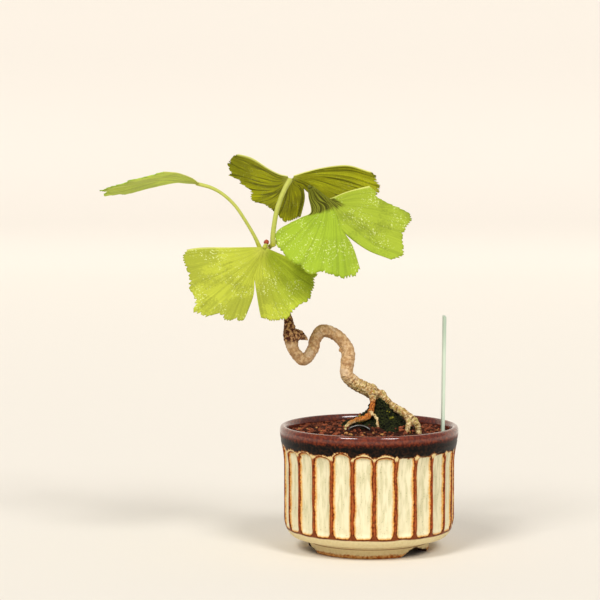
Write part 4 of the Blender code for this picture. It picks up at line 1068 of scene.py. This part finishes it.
def build_bud():
    """A small ball with low scales around it."""
    points, faces, sides, rows = [], [], 32, 24
    for j in range(1, rows):
        lean = pi * j / rows
        for k in range(sides):
            turn = 2 * pi * k / sides
            scale = 1.0 + 0.07 * cos(turn * 5 + lean * 2.0) + 0.04 * cos(lean * 9.0)
            flat = BUD_RADIUS * sin(lean) * scale
            points.append((flat * cos(turn), flat * sin(turn), -BUD_RADIUS * cos(lean)))
    for j in range(rows - 2):
        faces += band(j * sides, (j + 1) * sides, sides)
    faces += fan(0, sides, len(points)) + fan((rows - 2) * sides, sides, len(points) + 1)
    points += [(0.0, 0.0, -BUD_RADIUS), (0.0, 0.0, BUD_RADIUS * 1.2)]
    bud = mesh_object("bud_scaled", np.array(points) + BUD_CENTRE, faces, bud_finish())
    settle(bud, "red_brown_bud", "terminal_bud")


def wire_finish():
    wire = Finish("dull_wire", 0.35, 0.5, metallic=1.0)
    return wire.set(base_color=wire.speckled(900.0, (44, 42, 40), (112, 110, 106), 0.05, 0.4))


def build_wire():
    points, faces = tube_mesh([(*p, WIRE_RADIUS) for p in WIRE], 20, 90)
    settle(mesh_object("wire_bent", points, faces, wire_finish()), "dull_wire", "wire_loop")


def stake_finish():
    stake = Finish("mint_white_plastic", 0.4, 0.4)
    pale = stake.blend(stake.noise(60.0), (198, 212, 190), (210, 222, 200))
    return stake.set(base_color=stake.into(pale, (172, 188, 166), stake.height(), 80.0, 96.0))


def build_stake():
    """The blank plastic label, with softened edges."""
    points = []
    for cx, cy, cz in (STAKE_FOOT, STAKE_TOP):
        for sx, sy in ((-1, -1), (1, -1), (1, 1), (-1, 1)):
            points.append((cx + sx * STAKE_THICK / 2, cy + sy * STAKE_WIDE / 2, cz))
    faces = [(3, 2, 1, 0), (4, 5, 6, 7), (0, 1, 5, 4), (1, 2, 6, 5), (2, 3, 7, 6), (3, 0, 4, 7)]
    stake = mesh_object("label_blank", points, faces, stake_finish())
    shaped(stake, "BEVEL", width=STAKE_ROUND * MM, segments=4)
    settle(stake, "mint_white_plastic", "label_stake")


def mesh_plastic():
    plastic = Finish("black_plastic", 0.5, 0.4)
    return plastic.set(base_color=plastic.speckled(800.0, (24, 24, 24), (52, 52, 50), 0.1, 0.4))


def dress_mesh():
    """The carried-over drain mesh keeps its form and takes a finish of its own."""
    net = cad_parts["drain_mesh"]
    net.data.materials.clear()
    net.data.materials.append(mesh_plastic())


def main():
    build_backdrop()
    build_lights()
    build_camera()
    build_pot()
    earth = soil_finish()
    build_soil(earth)
    build_grains(earth)
    build_trunk()
    build_leaves()
    build_bud()
    build_wire()
    build_stake()
    dress_mesh()


main()
